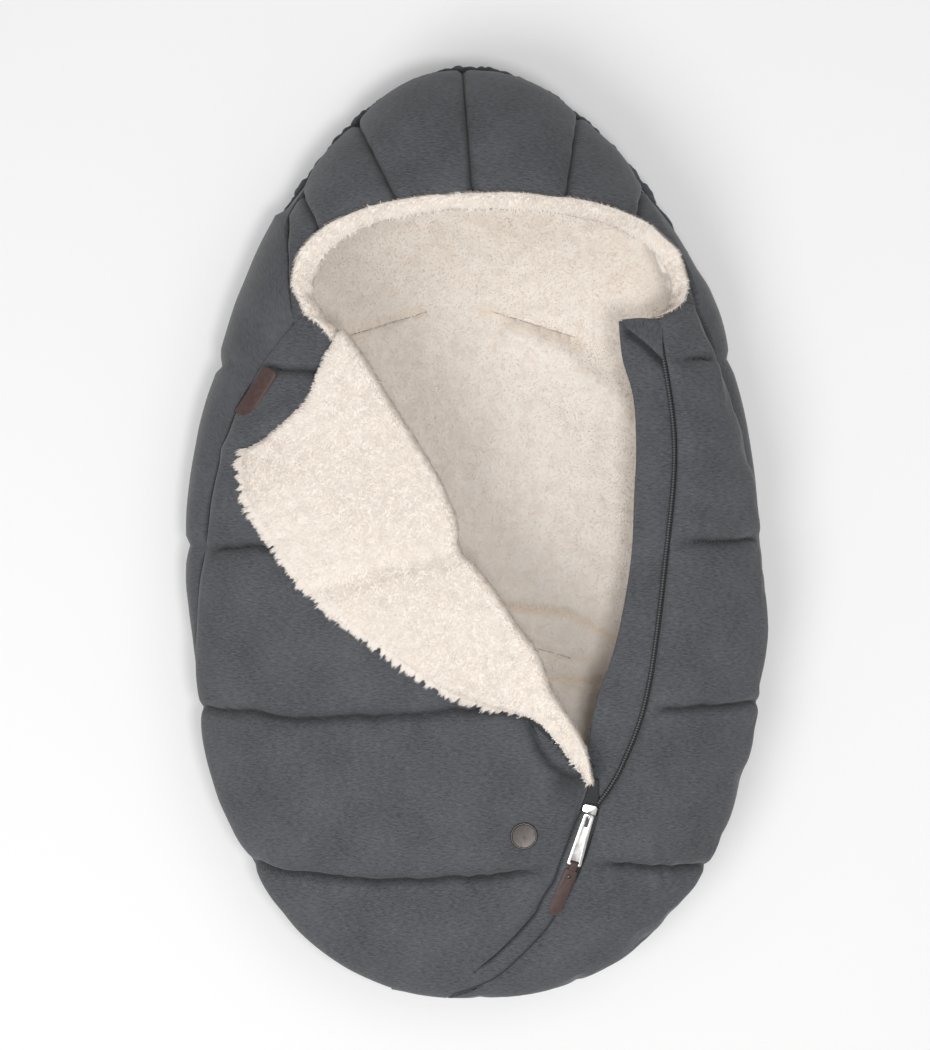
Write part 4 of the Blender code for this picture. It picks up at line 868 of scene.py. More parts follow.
# hood
hoodPad = {"columns": 420, "rows": 70, "thickness": 0.0112, "crest": 0.0036, "groove": 0.0040, "width": 0.0024,
           "edgeReach": 0.022, "pucker": 0.0010, "slack": (0.0016, 0.0005), "fall": (0.0012, 0.006, 0.0010, 0.006),
           "heldReach": 0.0030, "looseness": 0.5}


def hoodWay(angle):
    turns = [sideSeam["leftCorner"]] + [turn for turn, way in goreSeams] + [sideSeam["rightCorner"]]
    ways = [0.0] + [way for turn, way in goreSeams] + [1.0]
    return np.interp(-angle, [-turn for turn in turns], ways)


def makeHood():
    h = hoodPad
    angles = np.linspace(*hoodTurns, h["columns"])
    base, angles = faceUp(coverGrid(angles, rimPoint(hoodWay(angles)), h["rows"]), angles)
    normal = gridNormals(base)
    turns = np.array([sideSeam["leftCorner"]] + [turn for turn, way in goreSeams] + [sideSeam["rightCorner"]])
    index = np.clip(np.searchsorted(-turns, -angles, side="right") - 1, 0, len(turns) - 2)
    t = (turns[index] - angles) / (turns[index] - turns[index + 1])
    swell = h["crest"] * np.sin(math.pi * np.clip(t, 0, 1)) ** 0.55
    x, y = base[..., 0], base[..., 1]
    rise = swell[:, None] * loftNear(base, h["edgeReach"])
    inner = turns[1:-1]
    column = np.abs(angles[:, None] - inner[None, :]).min(axis=1)
    width = np.maximum(np.linalg.norm(np.gradient(base, axis=0), axis=-1) / abs(angles[1] - angles[0]), 1e-6)
    gap = column[:, None] * width
    dip = np.exp(-(gap / h["width"]) ** 1.4)
    rise -= h["groove"] * dip
    rise += h["pucker"] * np.exp(-gap / 0.010) * softNoise(runLength(base, 1) / 0.011, gap / 0.02, 41)
    wide, fine = h["slack"]
    rise += softNoise(x / 0.06, y / 0.05, 43) * wide + softNoise(x / 0.025, y / 0.025, 44) * fine
    rise += edgeFall(base, *h["fall"])
    points = base + normal * rise[..., None]
    loose = h["looseness"] * np.exp(-gap / coverPad["slackReach"])
    points = points + blowUp(points, seamHold(gap, h["heldReach"]), loose)
    # painted shade: the cloth's colour is darkened down the gore seams
    return layCloth("hoodPad", points, greyTwill, h["thickness"], loftNear(base, 0.008), clothUv(base),
                    crease=dip ** 2)


settle(makeHood(), "muff", "shell", "hood_gore_left_side", "hood_gore_left_outer", "hood_gore_left_inner",
       "hood_gore_right_inner", "hood_gore_right_outer", "hood_gore_right_side", "hood_wadding", fill=0.5)


def makeLining(name, base, seed, node):
    # the fleece behind a cover, seen from inside and at its free edge
    base = faceUp(base)
    points = base + gridNormals(base) * fleeceLumps(base[..., 0], base[..., 1], seed)[..., None]
    item = layCloth(name, points, creamFleece, innerFleece["thickness"], uv=clothUv(base))
    settle(item, "muff", "fleece", node, fill=0.3)
    return points


depth, (leftFoot, rightFoot) = innerFleece["coverDepth"], innerFleece["footTurns"]
turns = np.linspace(*hoodTurns, 160)
hoodInner = makeLining("hoodFleece", coverGrid(turns, rimPoint(hoodWay(turns)), 50, depth, innerFleece["hoodShort"]),
                       51, "hood_lining")
turns = np.linspace(leftFoot, sideSeam["leftCorner"] + hemGap, 180)
turns, edge = withCorner(turns, leftCoverEdge(turns, 0.003, 0.006), hoodRim["leftEnd"], hoodTurns[0])
makeLining("leftCoverFleece", coverGrid(turns, edge, 60, depth), 53, "left_cover_lining")
turns = np.linspace(rightFoot, sideSeam["rightCorner"] - hemGap, 180)
turns, edge = withCorner(turns, rightCoverEdge(turns, 0.003), hoodRim["rightEnd"], hoodTurns[1])
makeLining("rightCoverFleece", coverGrid(turns, edge, 60, depth), 57, "right_cover_lining")
print("back, hood and fleece laid")


# flap, folded back with its fleece up
flapCloth = {
    "neck": ((-0.1100, 0.1545), (-0.1212, 0.1332), (-0.1260, 0.1212), (-0.1316, 0.1076), (-0.1396, 0.0964),
             (-0.1532, 0.0844), (-0.1700, 0.0708), (-0.1840, 0.0640)),
    "zipEdge": ((-0.1840, 0.0640), (-0.1880, 0.0524), (-0.1858, 0.0308), (-0.1778, 0.0140), (-0.1594, -0.0124),
                (-0.1378, -0.0428), (-0.1058, -0.0700), (-0.0706, -0.0956), (-0.0306, -0.1228),
                (0.0038, -0.1364), (0.0390, -0.1452), (0.0530, -0.1560), (0.0645, -0.1680),
                (0.0755, -0.1820), (0.0835, -0.1940), (0.0866, -0.1990)),
    "fold": ((-0.1100, 0.1545), (-0.0916, 0.1284), (-0.0764, 0.1028), (-0.0548, 0.0692), (-0.0340, 0.0340),
             (-0.0228, 0.0076), (-0.0208, -0.0124), (-0.0150, -0.0244), (-0.0088, -0.0290), (0.0012, -0.0412),
             (0.0092, -0.0516), (0.0268, -0.0788), (0.0420, -0.0996), (0.0515, -0.1250), (0.0630, -0.1420),
             (0.0760, -0.1610), (0.0840, -0.1790), (0.0884, -0.1985)),
    "foot": ((0.0884, -0.1985), (0.0876, -0.1992), (0.0866, -0.1990)),
    "columns": 200, "rows": 90, "thickness": 0.0050, "lift": 0.0075, "pileHeight": 0.0070, "edgeReach": 0.010,
    "lumps": (0.012, 0.0005), "swell": 0.0022, "creaseWidth": 0.010,
    "roll": 0.0105, "rollOut": 0.55, "rollRows": 14, "rollTurn": 165, "rollTaper": ((0, 0.78, 1.0), (1.0, 1.0, 0.25)),
    "shellRows": 60, "shellInset": ((0, 0.80, 1.0), (0.007, 0.005, 0.0008)),
    "shellGrow": ((0, 0.9, 1.0), (-0.004, -0.002, 0.0)), "shellRise": 0.0010, "puff": 0.0050, "pucker": 0.0010,
    "creaseLine": ((-0.130, -0.045), (-0.075, -0.030), (-0.020, -0.018)), "creaseDepth": 0.0035,
}


def evenCurve(points, count):
    # a smooth curve with its points evenly spaced
    return evenly(smoothCurve(points, np.linspace(0, 1, 600)), count)


def coonsPatch(first, last, start, finish):
    # fills the space between four curves that meet at their ends
    u = np.linspace(0, 1, len(first))[:, None, None]
    v = np.linspace(0, 1, len(start))[None, :, None]
    across = first[:, None] * (1 - v) + last[:, None] * v
    along = start[None] * (1 - u) + finish[None] * u
    corners = (first[0] * (1 - u) * (1 - v) + first[-1] * u * (1 - v)
               + last[0] * (1 - u) * v + last[-1] * u * v)
    return across + along - corners


def flapPlan(columns, rows, grow=0.0, foldInset=0.0):
    f = flapCloth
    fold = sideways(evenCurve(f["fold"], columns), foldInset)
    edge = sideways(evenCurve(f["zipEdge"], columns), grow)
    neck = evenCurve(f["neck"], rows)
    foot = evenCurve(f["foot"], rows)
    v = np.linspace(0, 1, rows)[:, None]
    neck = neck + (fold[0] - neck[0]) * (1 - v) + (edge[0] - neck[-1]) * v
    foot = foot + (fold[-1] - foot[0]) * (1 - v) + (edge[-1] - foot[-1]) * v
    return coonsPatch(fold, edge, neck, foot)


def makeFlapFleece():
    f = flapCloth
    base = onDome(flapPlan(f["columns"], f["rows"]))
    x, y = base[..., 0], base[..., 1]
    run = runLength(base, 1)
    side = runLength(base, 0)
    gap = np.minimum(run[:, -1:] - run, np.minimum(side, side[-1:] - side) + 0.002)
    edgeRound = quarterRound(np.clip(gap / f["edgeReach"], 0, 1))
    lumps = fleeceLumps(x, y, 61, *f["lumps"]) + f["swell"] * softNoise(x / 0.05, y / 0.05, 62)
    crease = f["creaseDepth"] * np.exp(-(lineGap(x, y, f["creaseLine"]) / f["creaseWidth"]) ** 2)
    height = f["lift"] + f["pileHeight"] * edgeRound + lumps - crease * edgeRound
    top = base.copy()
    top[..., 2] += height
    # beyond the fold the fleece rolls over and down into the muff
    fold = top[:, 0]
    tangent = np.gradient(fold[:, :2], axis=0)
    tangent /= np.linalg.norm(tangent, axis=1, keepdims=True)
    out = np.stack([-tangent[:, 1], tangent[:, 0]], axis=-1)
    taper = np.interp(np.linspace(0, 1, len(fold)), *f["rollTaper"])[:, None]
    roll = []
    for angle in np.linspace(0, math.radians(f["rollTurn"]), f["rollRows"])[:0:-1]:
        row = fold.copy()
        row[:, :2] += out * (f["roll"] * f["rollOut"] * math.sin(angle)) * taper
        row[:, 2] -= f["roll"] * (1 - math.cos(angle))
        roll.append(row)
    points = np.concatenate([np.stack(roll, axis=1), top], axis=1)
    normal = gridNormals(points)
    if normal[:, f["rollRows"]:, 2].mean() < 0:
        points = points[::-1]
    return points, layCloth("flapFleece", points, creamFleece, f["thickness"])


def bendAtFold(item):
    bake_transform(item)


flapPoints, flapFleece = makeFlapFleece()
settle(flapFleece, "flap", "fleece", "flap_lining", fill=0.3, bend="fleece")


def makeFlapShell():
    # grey outer cloth of the flap, face down, which bulges out past the fleece near the slider
    f = flapCloth
    way = np.linspace(0, 1, f["columns"])
    base = onDome(flapPlan(f["columns"], f["shellRows"], np.interp(way, *f["shellGrow"]),
                           np.interp(way, *f["shellInset"])))
    x, y = base[..., 0], base[..., 1]
    loft = loftNear(base, 0.006)
    top = base.copy()
    pucker = f["pucker"] * softNoise(x / 0.009, y / 0.012, 71) * np.clip((way[:, None] - 0.55) / 0.3, 0, 1)
    top[..., 2] += f["shellRise"] + f["puff"] * loft + pucker
    top, loft = faceUp(top, loft)
    return layCloth("flapShellPad", top, greyTwill, f["thickness"], loft)


# the outer cloth is gathered in a small bulge beside the slider
flapBulge = {"tapeSide": ((0.0422, -0.1495), (0.0530, -0.1548), (0.0650, -0.1655), (0.0755, -0.1785),
                          (0.0808, -0.1910)),
             "coverSide": ((0.0422, -0.1509), (0.0469, -0.1667), (0.0563, -0.1808), (0.0682, -0.1895),
                           (0.0800, -0.1935)),
             "columns": 120, "rows": 30, "rise": 0.0062, "pleats": 11, "pleatRise": 0.0009, "lift": 0.0008,
             "thickness": 0.0016}


def makeFlapBulge():
    b = flapBulge
    near = evenCurve(b["tapeSide"], b["columns"])
    far = evenCurve(b["coverSide"], b["columns"])
    u = np.linspace(0, 1, b["columns"])[:, None]
    v = np.linspace(0, 1, b["rows"])[None, :]
    base = onDome(between(near, far, b["rows"]))
    swell = np.sin(math.pi * np.clip(0.15 + 0.85 * v, 0, 1)) ** 0.6 * np.sin(math.pi * u) ** 0.5
    pleat = np.sin(2 * math.pi * (u * b["pleats"] + 0.15 * softNoise(u * 9, v * 2, 73))) * np.sin(math.pi * u)
    base[..., 2] += b["lift"] + b["rise"] * swell + b["pleatRise"] * pleat * (1 - 0.6 * v)
    # painted shadow along the bulge's lower edge, and painted shade in the hollows between its pleats
    shade = np.exp(-((1 - v) / 0.10) ** 2) * np.ones_like(u)
    shade = np.maximum(shade, 0.35 * np.clip(-pleat, 0, 1) ** 2)
    base, shade = faceUp(base, shade)
    return layCloth("flapBulge", base, greyTwill, b["thickness"], loftNear(base, 0.002), crease=shade)


settle(makeFlapBulge(), "flap", "shell", fill=0.2, bend="shell")
settle(makeFlapShell(), "flap", "shell", "flap_shell", "flap_wadding", fill=0.3, bend="shell")


# rim of the hood
rimRoll = {"stations": 300, "ring": 28, "halfWidth": 0.0062, "top": 0.0034, "drop": 0.0170, "inset": 0.0050,
           "leftTail": ((-0.1060, 0.1450), (-0.1165, 0.1580)), "rightTail": ((0.1475, 0.1722), (0.1420, 0.1690)),
           "waver": 0.10, "lump": 0.10, "length": 0.42, "lowDrop": 0.0015,
           "wide": ((0.0, 1.25), (0.10, 1.45), (0.25, 1.35), (0.40, 1.0), (0.60, 1.0), (0.85, 1.1), (1.0, 1.2))}


def makeRim():
    r = rimRoll
    way = np.linspace(0.0, 1.0, r["stations"])
    wide = np.interp(way, *zip(*r["wide"])) + r["waver"] * softNoise(way / 0.035, way * 0, 83)
    arch = rimInset(np.linspace(0.0, 1.0, 60), r["inset"])
    middle = evenCurve(np.concatenate([r["leftTail"], arch, r["rightTail"]]), r["stations"])
    inward = np.array(hoodRim["focus"]) - middle
    inward /= np.linalg.norm(inward, axis=1, keepdims=True)
    z = domeHeight(middle[:, 0], middle[:, 1])
    rows = []
    for turn in np.linspace(0, 2 * math.pi, r["ring"] + 1):
        across = -math.cos(turn) * r["halfWidth"] * wide
        up = math.sin(turn)
        height = np.where(up > 0, up * r["top"], up * r["drop"]) - (1 + math.cos(turn + math.pi)) * r["lowDrop"]
        row = np.empty((r["stations"], 3))
        row[:, :2] = middle + inward * across[:, None]
        row[:, 2] = z + height
        rows.append(row)
    points = np.stack(rows, axis=1)
    centre = points[:, :-1].mean(axis=1, keepdims=True)
    x = np.broadcast_to(way[:, None] * r["length"], points.shape[:2])
    around = np.broadcast_to(np.linspace(0, 1, r["ring"] + 1)[None], points.shape[:2])
    lump = 1 + r["lump"] * softNoise(x / 0.014, np.cos(around * 2 * math.pi) * 1.2, 81)
    points = centre + (points - centre) * lump[..., None]
    points = np.concatenate([centre[:1] + 0 * points[:1], points, centre[-1:] + 0 * points[-1:]], axis=0)
    normal = gridNormals(points)
    outward = ((points - np.concatenate([centre[:1], centre, centre[-1:]])) * normal).sum(-1).mean()
    if outward < 0:
        points = points[::-1]
    return points, layCloth("rimRoll", points, creamFleece, closeRing=True)


rimPoints, rimFleece = makeRim()
settle(rimFleece, "muff", "fleece", "hood_rim_band", fill=0.6)


# strip behind the open zip
underlapPad = {
    "inner": ((0.1095, 0.1640), (0.1125, 0.1350), (0.1212, 0.1044), (0.1236, 0.0644), (0.1220, 0.0244),
              (0.1204, -0.0156), (0.1148, -0.0556), (0.1060, -0.0956), (0.0924, -0.1356), (0.0860, -0.1750),
              (0.0885, -0.2010)),
    "rows": 40, "columns": 220, "depth": 0.0042, "thickness": 0.0050, "coilInset": 0.0029,
    "reach": 0.010, "end": 0.985, "wave": 0.0013, "puff": 0.0016, "sink": 0.002, "shadeWidth": 0.0035,
}


def coilLine(count, first, offset=0.0):
    way = np.linspace(first, underlapPad["end"], count)
    return sideways(smoothCurve(rightEdge, way), underlapPad["coilInset"] + offset)


def makeUnderlap():
    u = underlapPad
    inner = evenCurve(u["inner"], u["columns"])
    outer = coilLine(u["columns"], 0.0, -u["reach"])
    base = onDome(between(inner, outer, u["rows"]), u["depth"])
    x, y = base[..., 0], base[..., 1]
    loft = loftNear(base, 0.006)
    wave = softNoise(x / 0.030, y / 0.016, 91) + 0.7 * softNoise(x / 0.018, y / 0.035, 92)
    base[..., 2] += u["wave"] * wave * loft + u["puff"] * loft - u["sink"]
    # painted shadow of the folded collar, darkening the strip just below the collar's diagonal edge
    shade = 0.9 * np.exp(-(lineGap(x, y + u["shadeWidth"], collarFold["foot"]) / u["shadeWidth"]) ** 2)
    base, loft, shade = faceUp(base, loft, shade)
    return layCloth("underlapPad", base, greyTwill, u["thickness"], loft, crease=shade)


# the top of the strip is folded over in a triangle
collarFold = {"top": ((0.1118, 0.1652), (0.1280, 0.1668), (0.1436, 0.1656)),
              "foot": ((0.1168, 0.1580), (0.1305, 0.1475), (0.1446, 0.1345)), "columns": 60, "rows": 30,
              "lift": 0.0058, "thickness": 0.0022, "topShare": 0.35, "waver": 0.0007, "edgeDrop": 0.0022}


settle(makeUnderlap(), "muff", "shell", "zip_underlap", fill=0.3)
print("flap, rim and strip laid")


# zip
coilLook = {"radius": 0.00165, "pitch": 0.0021, "ring": 8, "flatten": 0.8, "tape": 0.0007,
            "ribs": (0.66, 0.95, 1.0, 0.90), "shade": (1.0, 0.35, 0.0, 0.55), "first": 0.01,
            "tapeInside": 0.0014, "tapeOutside": -0.0100, "flapInset": -0.0030, "flapTapeInset": -0.0110}
zipBlack = clothMaterial("zipBlack", (0.018, 0.019, 0.021), (0.030, 0.031, 0.034), twillWeave, "Object",
                         (0.1, 0.0001), 0.42, 0.0, {"Rib Scale": 3.0, "Slub Strength": 0.3})
# the last colour of coilBlack is the tint of the painted shade between the coil's turns
coilBlack = clothMaterial("coilBlack", (0.060, 0.062, 0.067), (0.110, 0.113, 0.120), twillWeave, "Object",
                          (0.1, 0.0001), 0.40, 0.0, {"Rib Scale": 3.0, "Slub Strength": 0.3}, (0.06, 0.06, 0.06))
tapeBlack = clothMaterial("tapeBlack", (0.018, 0.019, 0.021), (0.050, 0.052, 0.058), twillWeave, "Object",
                          (0.4, 0.0003), 0.85, 0.1, {"Rib Scale": 2.0, "Slub Strength": 0.3})


def layTube(name, path, radius, material, ring=8, flatten=1.0, modulate=1.0, crease=None, closed=False):
    # a tube along a run of points, with its ends shut or joined to one another
    path = np.asarray(path)
    run = np.concatenate([path[-2:-1], path, path[1:2]]) if closed else path
    ahead = np.gradient(run, axis=0)
    ahead = ahead[1:-1] if closed else ahead
    ahead /= np.linalg.norm(ahead, axis=1, keepdims=True)
    side = np.cross(ahead, np.array([0.0, 0.0, 1.0]))
    side /= np.linalg.norm(side, axis=1, keepdims=True)
    up = np.cross(side, ahead)
    size = np.full(len(path), radius) * modulate
    turn = np.linspace(0, 2 * math.pi, ring + 1)
    points = (path[:, None] + side[:, None] * (np.cos(turn)[None, :, None] * size[:, None, None])
              + up[:, None] * (np.sin(turn)[None, :, None] * size[:, None, None] * flatten))
    if not closed:
        ends = [np.repeat(path[index][None, None], ring + 1, axis=1) for index in (0, -1)]
        points = np.concatenate([ends[0], points, ends[1]], axis=0)
        path = np.concatenate([path[:1], path, path[-1:]])
    shade = None
    # the crease weights along the tube carry its painted shade
    if crease is not None:
        shade = np.repeat(np.concatenate([crease[:1], crease, crease[-1:]])[:, None], ring + 1, axis=1)
    if ((points - path[:, None]) * gridNormals(points)).sum(-1).mean() < 0:
        points = points[::-1]
        shade = shade if shade is None else shade[::-1]
    return layCloth(name, points, material, closeRing=True, crease=shade)


def makeCoil(name, plan, depth, node, body):
    # rings of the nylon coil, pinched between one turn and the next, with painted shade darkening each pinch
    count = int(runLength(plan, 0)[-1] / coilLook["pitch"]) * 4
    path = onDome(evenly(plan, count), depth)
    turn = np.arange(count) % 4
    ribs = np.choose(turn, coilLook["ribs"])
    item = layTube(name, path, coilLook["radius"], coilBlack, coilLook["ring"], coilLook["flatten"], ribs,
                   np.choose(turn, coilLook["shade"]))
    return settle(item, body, "zip", node)


def makeTape(name, inner, outer, depth, node, body):
    base = faceUp(onDome(between(inner, outer, 5), depth))
    return settle(layCloth(name, base, tapeBlack, coilLook["tape"]), body, "zip", node)


first, inside, outside = coilLook["first"], coilLook["tapeInside"], coilLook["tapeOutside"]
makeCoil("rightCoil", coilLine(400, first), 0.0018, "right_zip_coil", "muff")
makeTape("rightTape", coilLine(200, first, inside), coilLine(200, first, outside), 0.0026, "right_zip_tape", "muff")
flapEdge = evenCurve(flapCloth["zipEdge"], 300)[4:-6]
makeCoil("flapCoil", sideways(flapEdge, coilLook["flapInset"]), -0.0075, "flap_zip_coil", "flap")
# near the slider more of the tape shows
tapeShows = np.interp(np.linspace(0, 1, len(flapEdge)), (0, 0.72, 0.82, 0.96, 1.0),
                      (-0.0018, -0.0018, 0.0040, 0.0040, 0))
makeTape("flapTape", sideways(flapEdge, tapeShows), sideways(flapEdge, coilLook["flapTapeInset"]), -0.0070,
         "flap_zip_tape", "flap")


# strip over the closed zip
flyStrip = {"middle": ((0.0868, -0.2228), (0.0732, -0.2588), (0.0660, -0.2796), (0.0572, -0.2934),
                       (0.0492, -0.3092), (0.0268, -0.3340), (0.0060, -0.3516), (-0.0270, -0.3640),
                       (-0.0700, -0.3660)),
            "halfWidth": 0.0086, "columns": 220, "rows": 40, "crown": 0.0026, "thickness": 0.0012,
            "lift": 0.0006, "stitch": 0.0006, "edgeDrop": 0.0018, "lumps": 0.0004,
            "taper": ((0, 0.86), (0.05, 1.0), (0.78, 1.0), (0.92, 0.80), (1.0, 0.35))}


def makeFly():
    f = flyStrip
    way = np.linspace(0, 1, f["columns"])
    half = f["halfWidth"] * np.interp(way, *zip(*f["taper"]))
    v = np.linspace(-1, 1, f["rows"])
    middle = evenCurve(f["middle"], f["columns"])
    plan = np.stack([sideways(middle, half * step) for step in v], axis=1)
    base = onDome(plan)
    swell = np.sqrt(np.clip(1 - v ** 2, 0, 1))[None, :]
    stitch = -f["stitch"] * np.exp(-((np.abs(v) - 0.72) / 0.07) ** 2)[None, :]
    fade = np.interp(way, (0, 0.80, 1.0), (1.0, 1.0, 0.2))[:, None]
    base[..., 2] += f["lift"] + (f["crown"] * swell + stitch) * fade - f["edgeDrop"] * (np.abs(v) > 0.93)[None, :]
    # painted shade along both edges of the strip, darkest at the edges
    shade = np.clip((np.abs(v) - 0.50) / 0.34, 0, 1)[None, :] ** 1.6 * fade
    x, y = base[..., 0], base[..., 1]
    base[..., 2] += f["lumps"] * softNoise(x / 0.012, y / 0.012, 101)
    base, shade = faceUp(base, shade)
    return layCloth("flyStrip", base, greyTwill, f["thickness"], crease=shade)


settle(makeFly(), "muff", "shell", "zip_fly")


# dark tape under the closed part of the zip
closedTape = {"first": -8.0, "last": 43.0, "halfWidth": ((-8.0, 0.0045), (0.0, 0.0085), (6.0, 0.0125)),
              "depth": 0.0032, "thickness": 0.0010}


def makeClosedTape():
    t = closedTape
    travel = np.linspace(t["first"], t["last"], 120)
    path = zipPoint(travel)[:, :2]
    v = np.linspace(-1, 1, 9)
    half = np.interp(travel, *zip(*t["halfWidth"]))
    base = faceUp(onDome(np.stack([sideways(path, half * step) for step in v], axis=1), t["depth"]))
    return layCloth("closedTape", base, tapeBlack, t["thickness"])


def makeCollar():
    c = collarFold
    top = evenCurve(c["top"], c["columns"])
    foot = evenCurve(c["foot"], c["columns"])
    v = np.linspace(0, 1, c["rows"])[None, :]
    base = onDome(between(top, foot, c["rows"]), underlapPad["depth"])
    waver = c["waver"] * softNoise(base[..., 0] / 0.012, base[..., 1] / 0.02, 95)
    base[..., 2] += c["lift"] * (c["topShare"] + (1 - c["topShare"]) * np.sqrt(v)) + waver
    base[..., 2] -= c["edgeDrop"] * np.exp(-((1 - v) / 0.06) ** 2)
    base = faceUp(base)
    return layCloth("underlapCollar", base, greyTwill, c["thickness"], loftNear(base, 0.003), base[..., [1, 0]])


settle(makeClosedTape(), "muff", "zip")
settle(makeCollar(), "muff", "shell", fill=0.2)
print("zip laid")


# metal and leather
def wearGroup():
    # soft scratches and fingerprints on metal
    tree, start, end = newGroup("metalWear", [("Scale", 900.0)], "Mask", "Height")
    stretch = addNode(tree, "Mapping", -650, 100, Scale=(1.0, 0.12, 1.0))
    scratch = addNode(tree, "TexNoise", -400, 100, Detail=3.0, Roughness=0.6)
    smudge = addNode(tree, "TexNoise", -400, -150, Scale=160.0, Detail=2.0)
    both = addNode(tree, "Math", -100, 0, operation="MULTIPLY")
    wire(tree, (start, "Vector", stretch, "Vector"), (stretch, "Vector", scratch, "Vector"),
         (start, "Scale", scratch, "Scale"), (start, "Vector", smudge, "Vector"), (scratch, "Fac", both, 0),
         (smudge, "Fac", both, 1), (both, "Value", end, "Mask"), (scratch, "Fac", end, "Height"))
    return tree


def hideGroup():
    # leather grain: small cells with creases between them
    tree, start, end = newGroup("leatherGrain", [("Cell Scale", 900.0)], "Tone", "Height")
    cell = addNode(tree, "TexVoronoi", -500, 150, feature="DISTANCE_TO_EDGE")
    cloud = addNode(tree, "TexNoise", -500, -150, Scale=220.0, Detail=4.0, Roughness=0.6)
    both = addNode(tree, "Math", -200, 0, operation="MULTIPLY_ADD")
    both.inputs[1].default_value = 0.6
    wire(tree, (start, "Vector", cell, "Vector"), (start, "Cell Scale", cell, "Scale"),
         (start, "Vector", cloud, "Vector"), (cell, "Distance", both, 0), (cloud, "Fac", both, 2),
         (both, "Value", end, "Tone"), (both, "Value", end, "Height"))
    return tree


metalWear = wearGroup()
leatherGrain = hideGroup()


def metalMaterial(name, colour, smooth, worn, bump):
    made = newMaterial(name, colour, smooth, metallic=1.0)
    tree = made.node_tree
    shader = tree.nodes["Principled BSDF"]
    place = addNode(tree, "TexCoord", -1000, 0)
    pattern = addNode(tree, "Group", -750, 0)
    pattern.node_tree = metalWear
    spread = addNode(tree, "MapRange", -450, 50, From_Min=0.15, From_Max=0.40, To_Min=smooth, To_Max=worn)
    relief = addNode(tree, "Bump", -250, -200, Strength=bump, Distance=0.0001)
    wire(tree, (place, "Object", pattern, "Vector"), (pattern, "Mask", spread, "Value"),
         (spread, "Result", shader, "Roughness"), (pattern, "Height", relief, "Height"),
         (relief, "Normal", shader, "Normal"))
    return made


nickel = metalMaterial("brightNickel", (0.860, 0.840, 0.820), 0.30, 0.50, 0.15)
gunmetal = metalMaterial("darkGunmetal", (0.120, 0.108, 0.102), 0.38, 0.60, 0.20)
leather = clothMaterial("brownLeather", (0.066, 0.037, 0.034), (0.104, 0.059, 0.055), leatherGrain, "Object",
                        (0.25, 0.0002), 0.58, 0.0, {"Cell Scale": 1300.0})


rigidLook = {"merge": 0.000004, "flatTurn": 1.5, "edgeTurn": 32, "smoothTurn": 40}


def copyNode(node, name, material, body, slot, width, segments):
    # a copy of the solid is merged, gets soft edges and stands for the node
    pickOnly(frame["nodes"][node])
    bpy.ops.object.duplicate()
    item = bpy.context.object
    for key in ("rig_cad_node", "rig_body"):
        if key in item:
            del item[key]
    bpy.ops.object.parent_clear(type="CLEAR_KEEP_TRANSFORM")
    item.name = name
    item.data.name = name
    bpy.ops.object.mode_set(mode="EDIT")
    bpy.ops.mesh.select_all(action="SELECT")
    bpy.ops.mesh.remove_doubles(threshold=rigidLook["merge"])
    bpy.ops.mesh.dissolve_limited(angle_limit=math.radians(rigidLook["flatTurn"]))
    bpy.ops.object.mode_set(mode="OBJECT")
    item.data.materials.clear()
    item.data.materials.append(material)
    soft = item.modifiers.new("softEdges", "BEVEL")
    soft.width = width
    soft.segments = segments
    soft.limit_method = "ANGLE"
    soft.angle_limit = math.radians(rigidLook["edgeTurn"])
    applyAll(item)
    pickOnly(item)
    bpy.ops.object.shade_smooth_by_angle(angle=math.radians(rigidLook["smoothTurn"]))
    return settle(item, body, slot, node)


# node, piece, material, body, slot, width of its soft edges and their segments
for rigid in (
        ("zip_slider_body", "sliderBody", nickel, "slider", "nickel", 0.00035, 3),
        ("zip_puller", "pullerBar", nickel, "puller", "nickel", 0.00030, 3),
        ("leather_pull", "leatherLoop", leather, "leather_pull", "leather", 0.00035, 3),
        ("leather_pull_rivet", "pullRivet", gunmetal, "leather_pull", "gunmetal", 0.00018, 2),
        ("badge", "badgeDisc", gunmetal, "muff", "gunmetal", 0.00020, 3),
        ("badge_washer", "badgeWasher", nickel, "muff", "nickel", 0.00015, 2),
        ("zip_bottom_stop", "bottomStop", gunmetal, "muff", "gunmetal", 0.00040, 3),
        ("closed_zip_chain", "closedChain", zipBlack, "muff", "zip", 0.00030, 2)):
    copyNode(*rigid)
print("metal and leather in place")


# leather tag in the side seam
sideTag = {"head": ((-0.1684, 0.1300), (-0.1572, 0.1242)), "foot": ((-0.1932, 0.0945), (-0.1815, 0.0862)),
           "corner": 0.0046, "columns": 50, "rows": 20, "lift": 0.0042, "thickness": 0.0019, "rim": 0.0012,
           "crown": 0.0008, "waver": 0.0006, "edgeDrop": 0.0005, "groove": 0.00022}


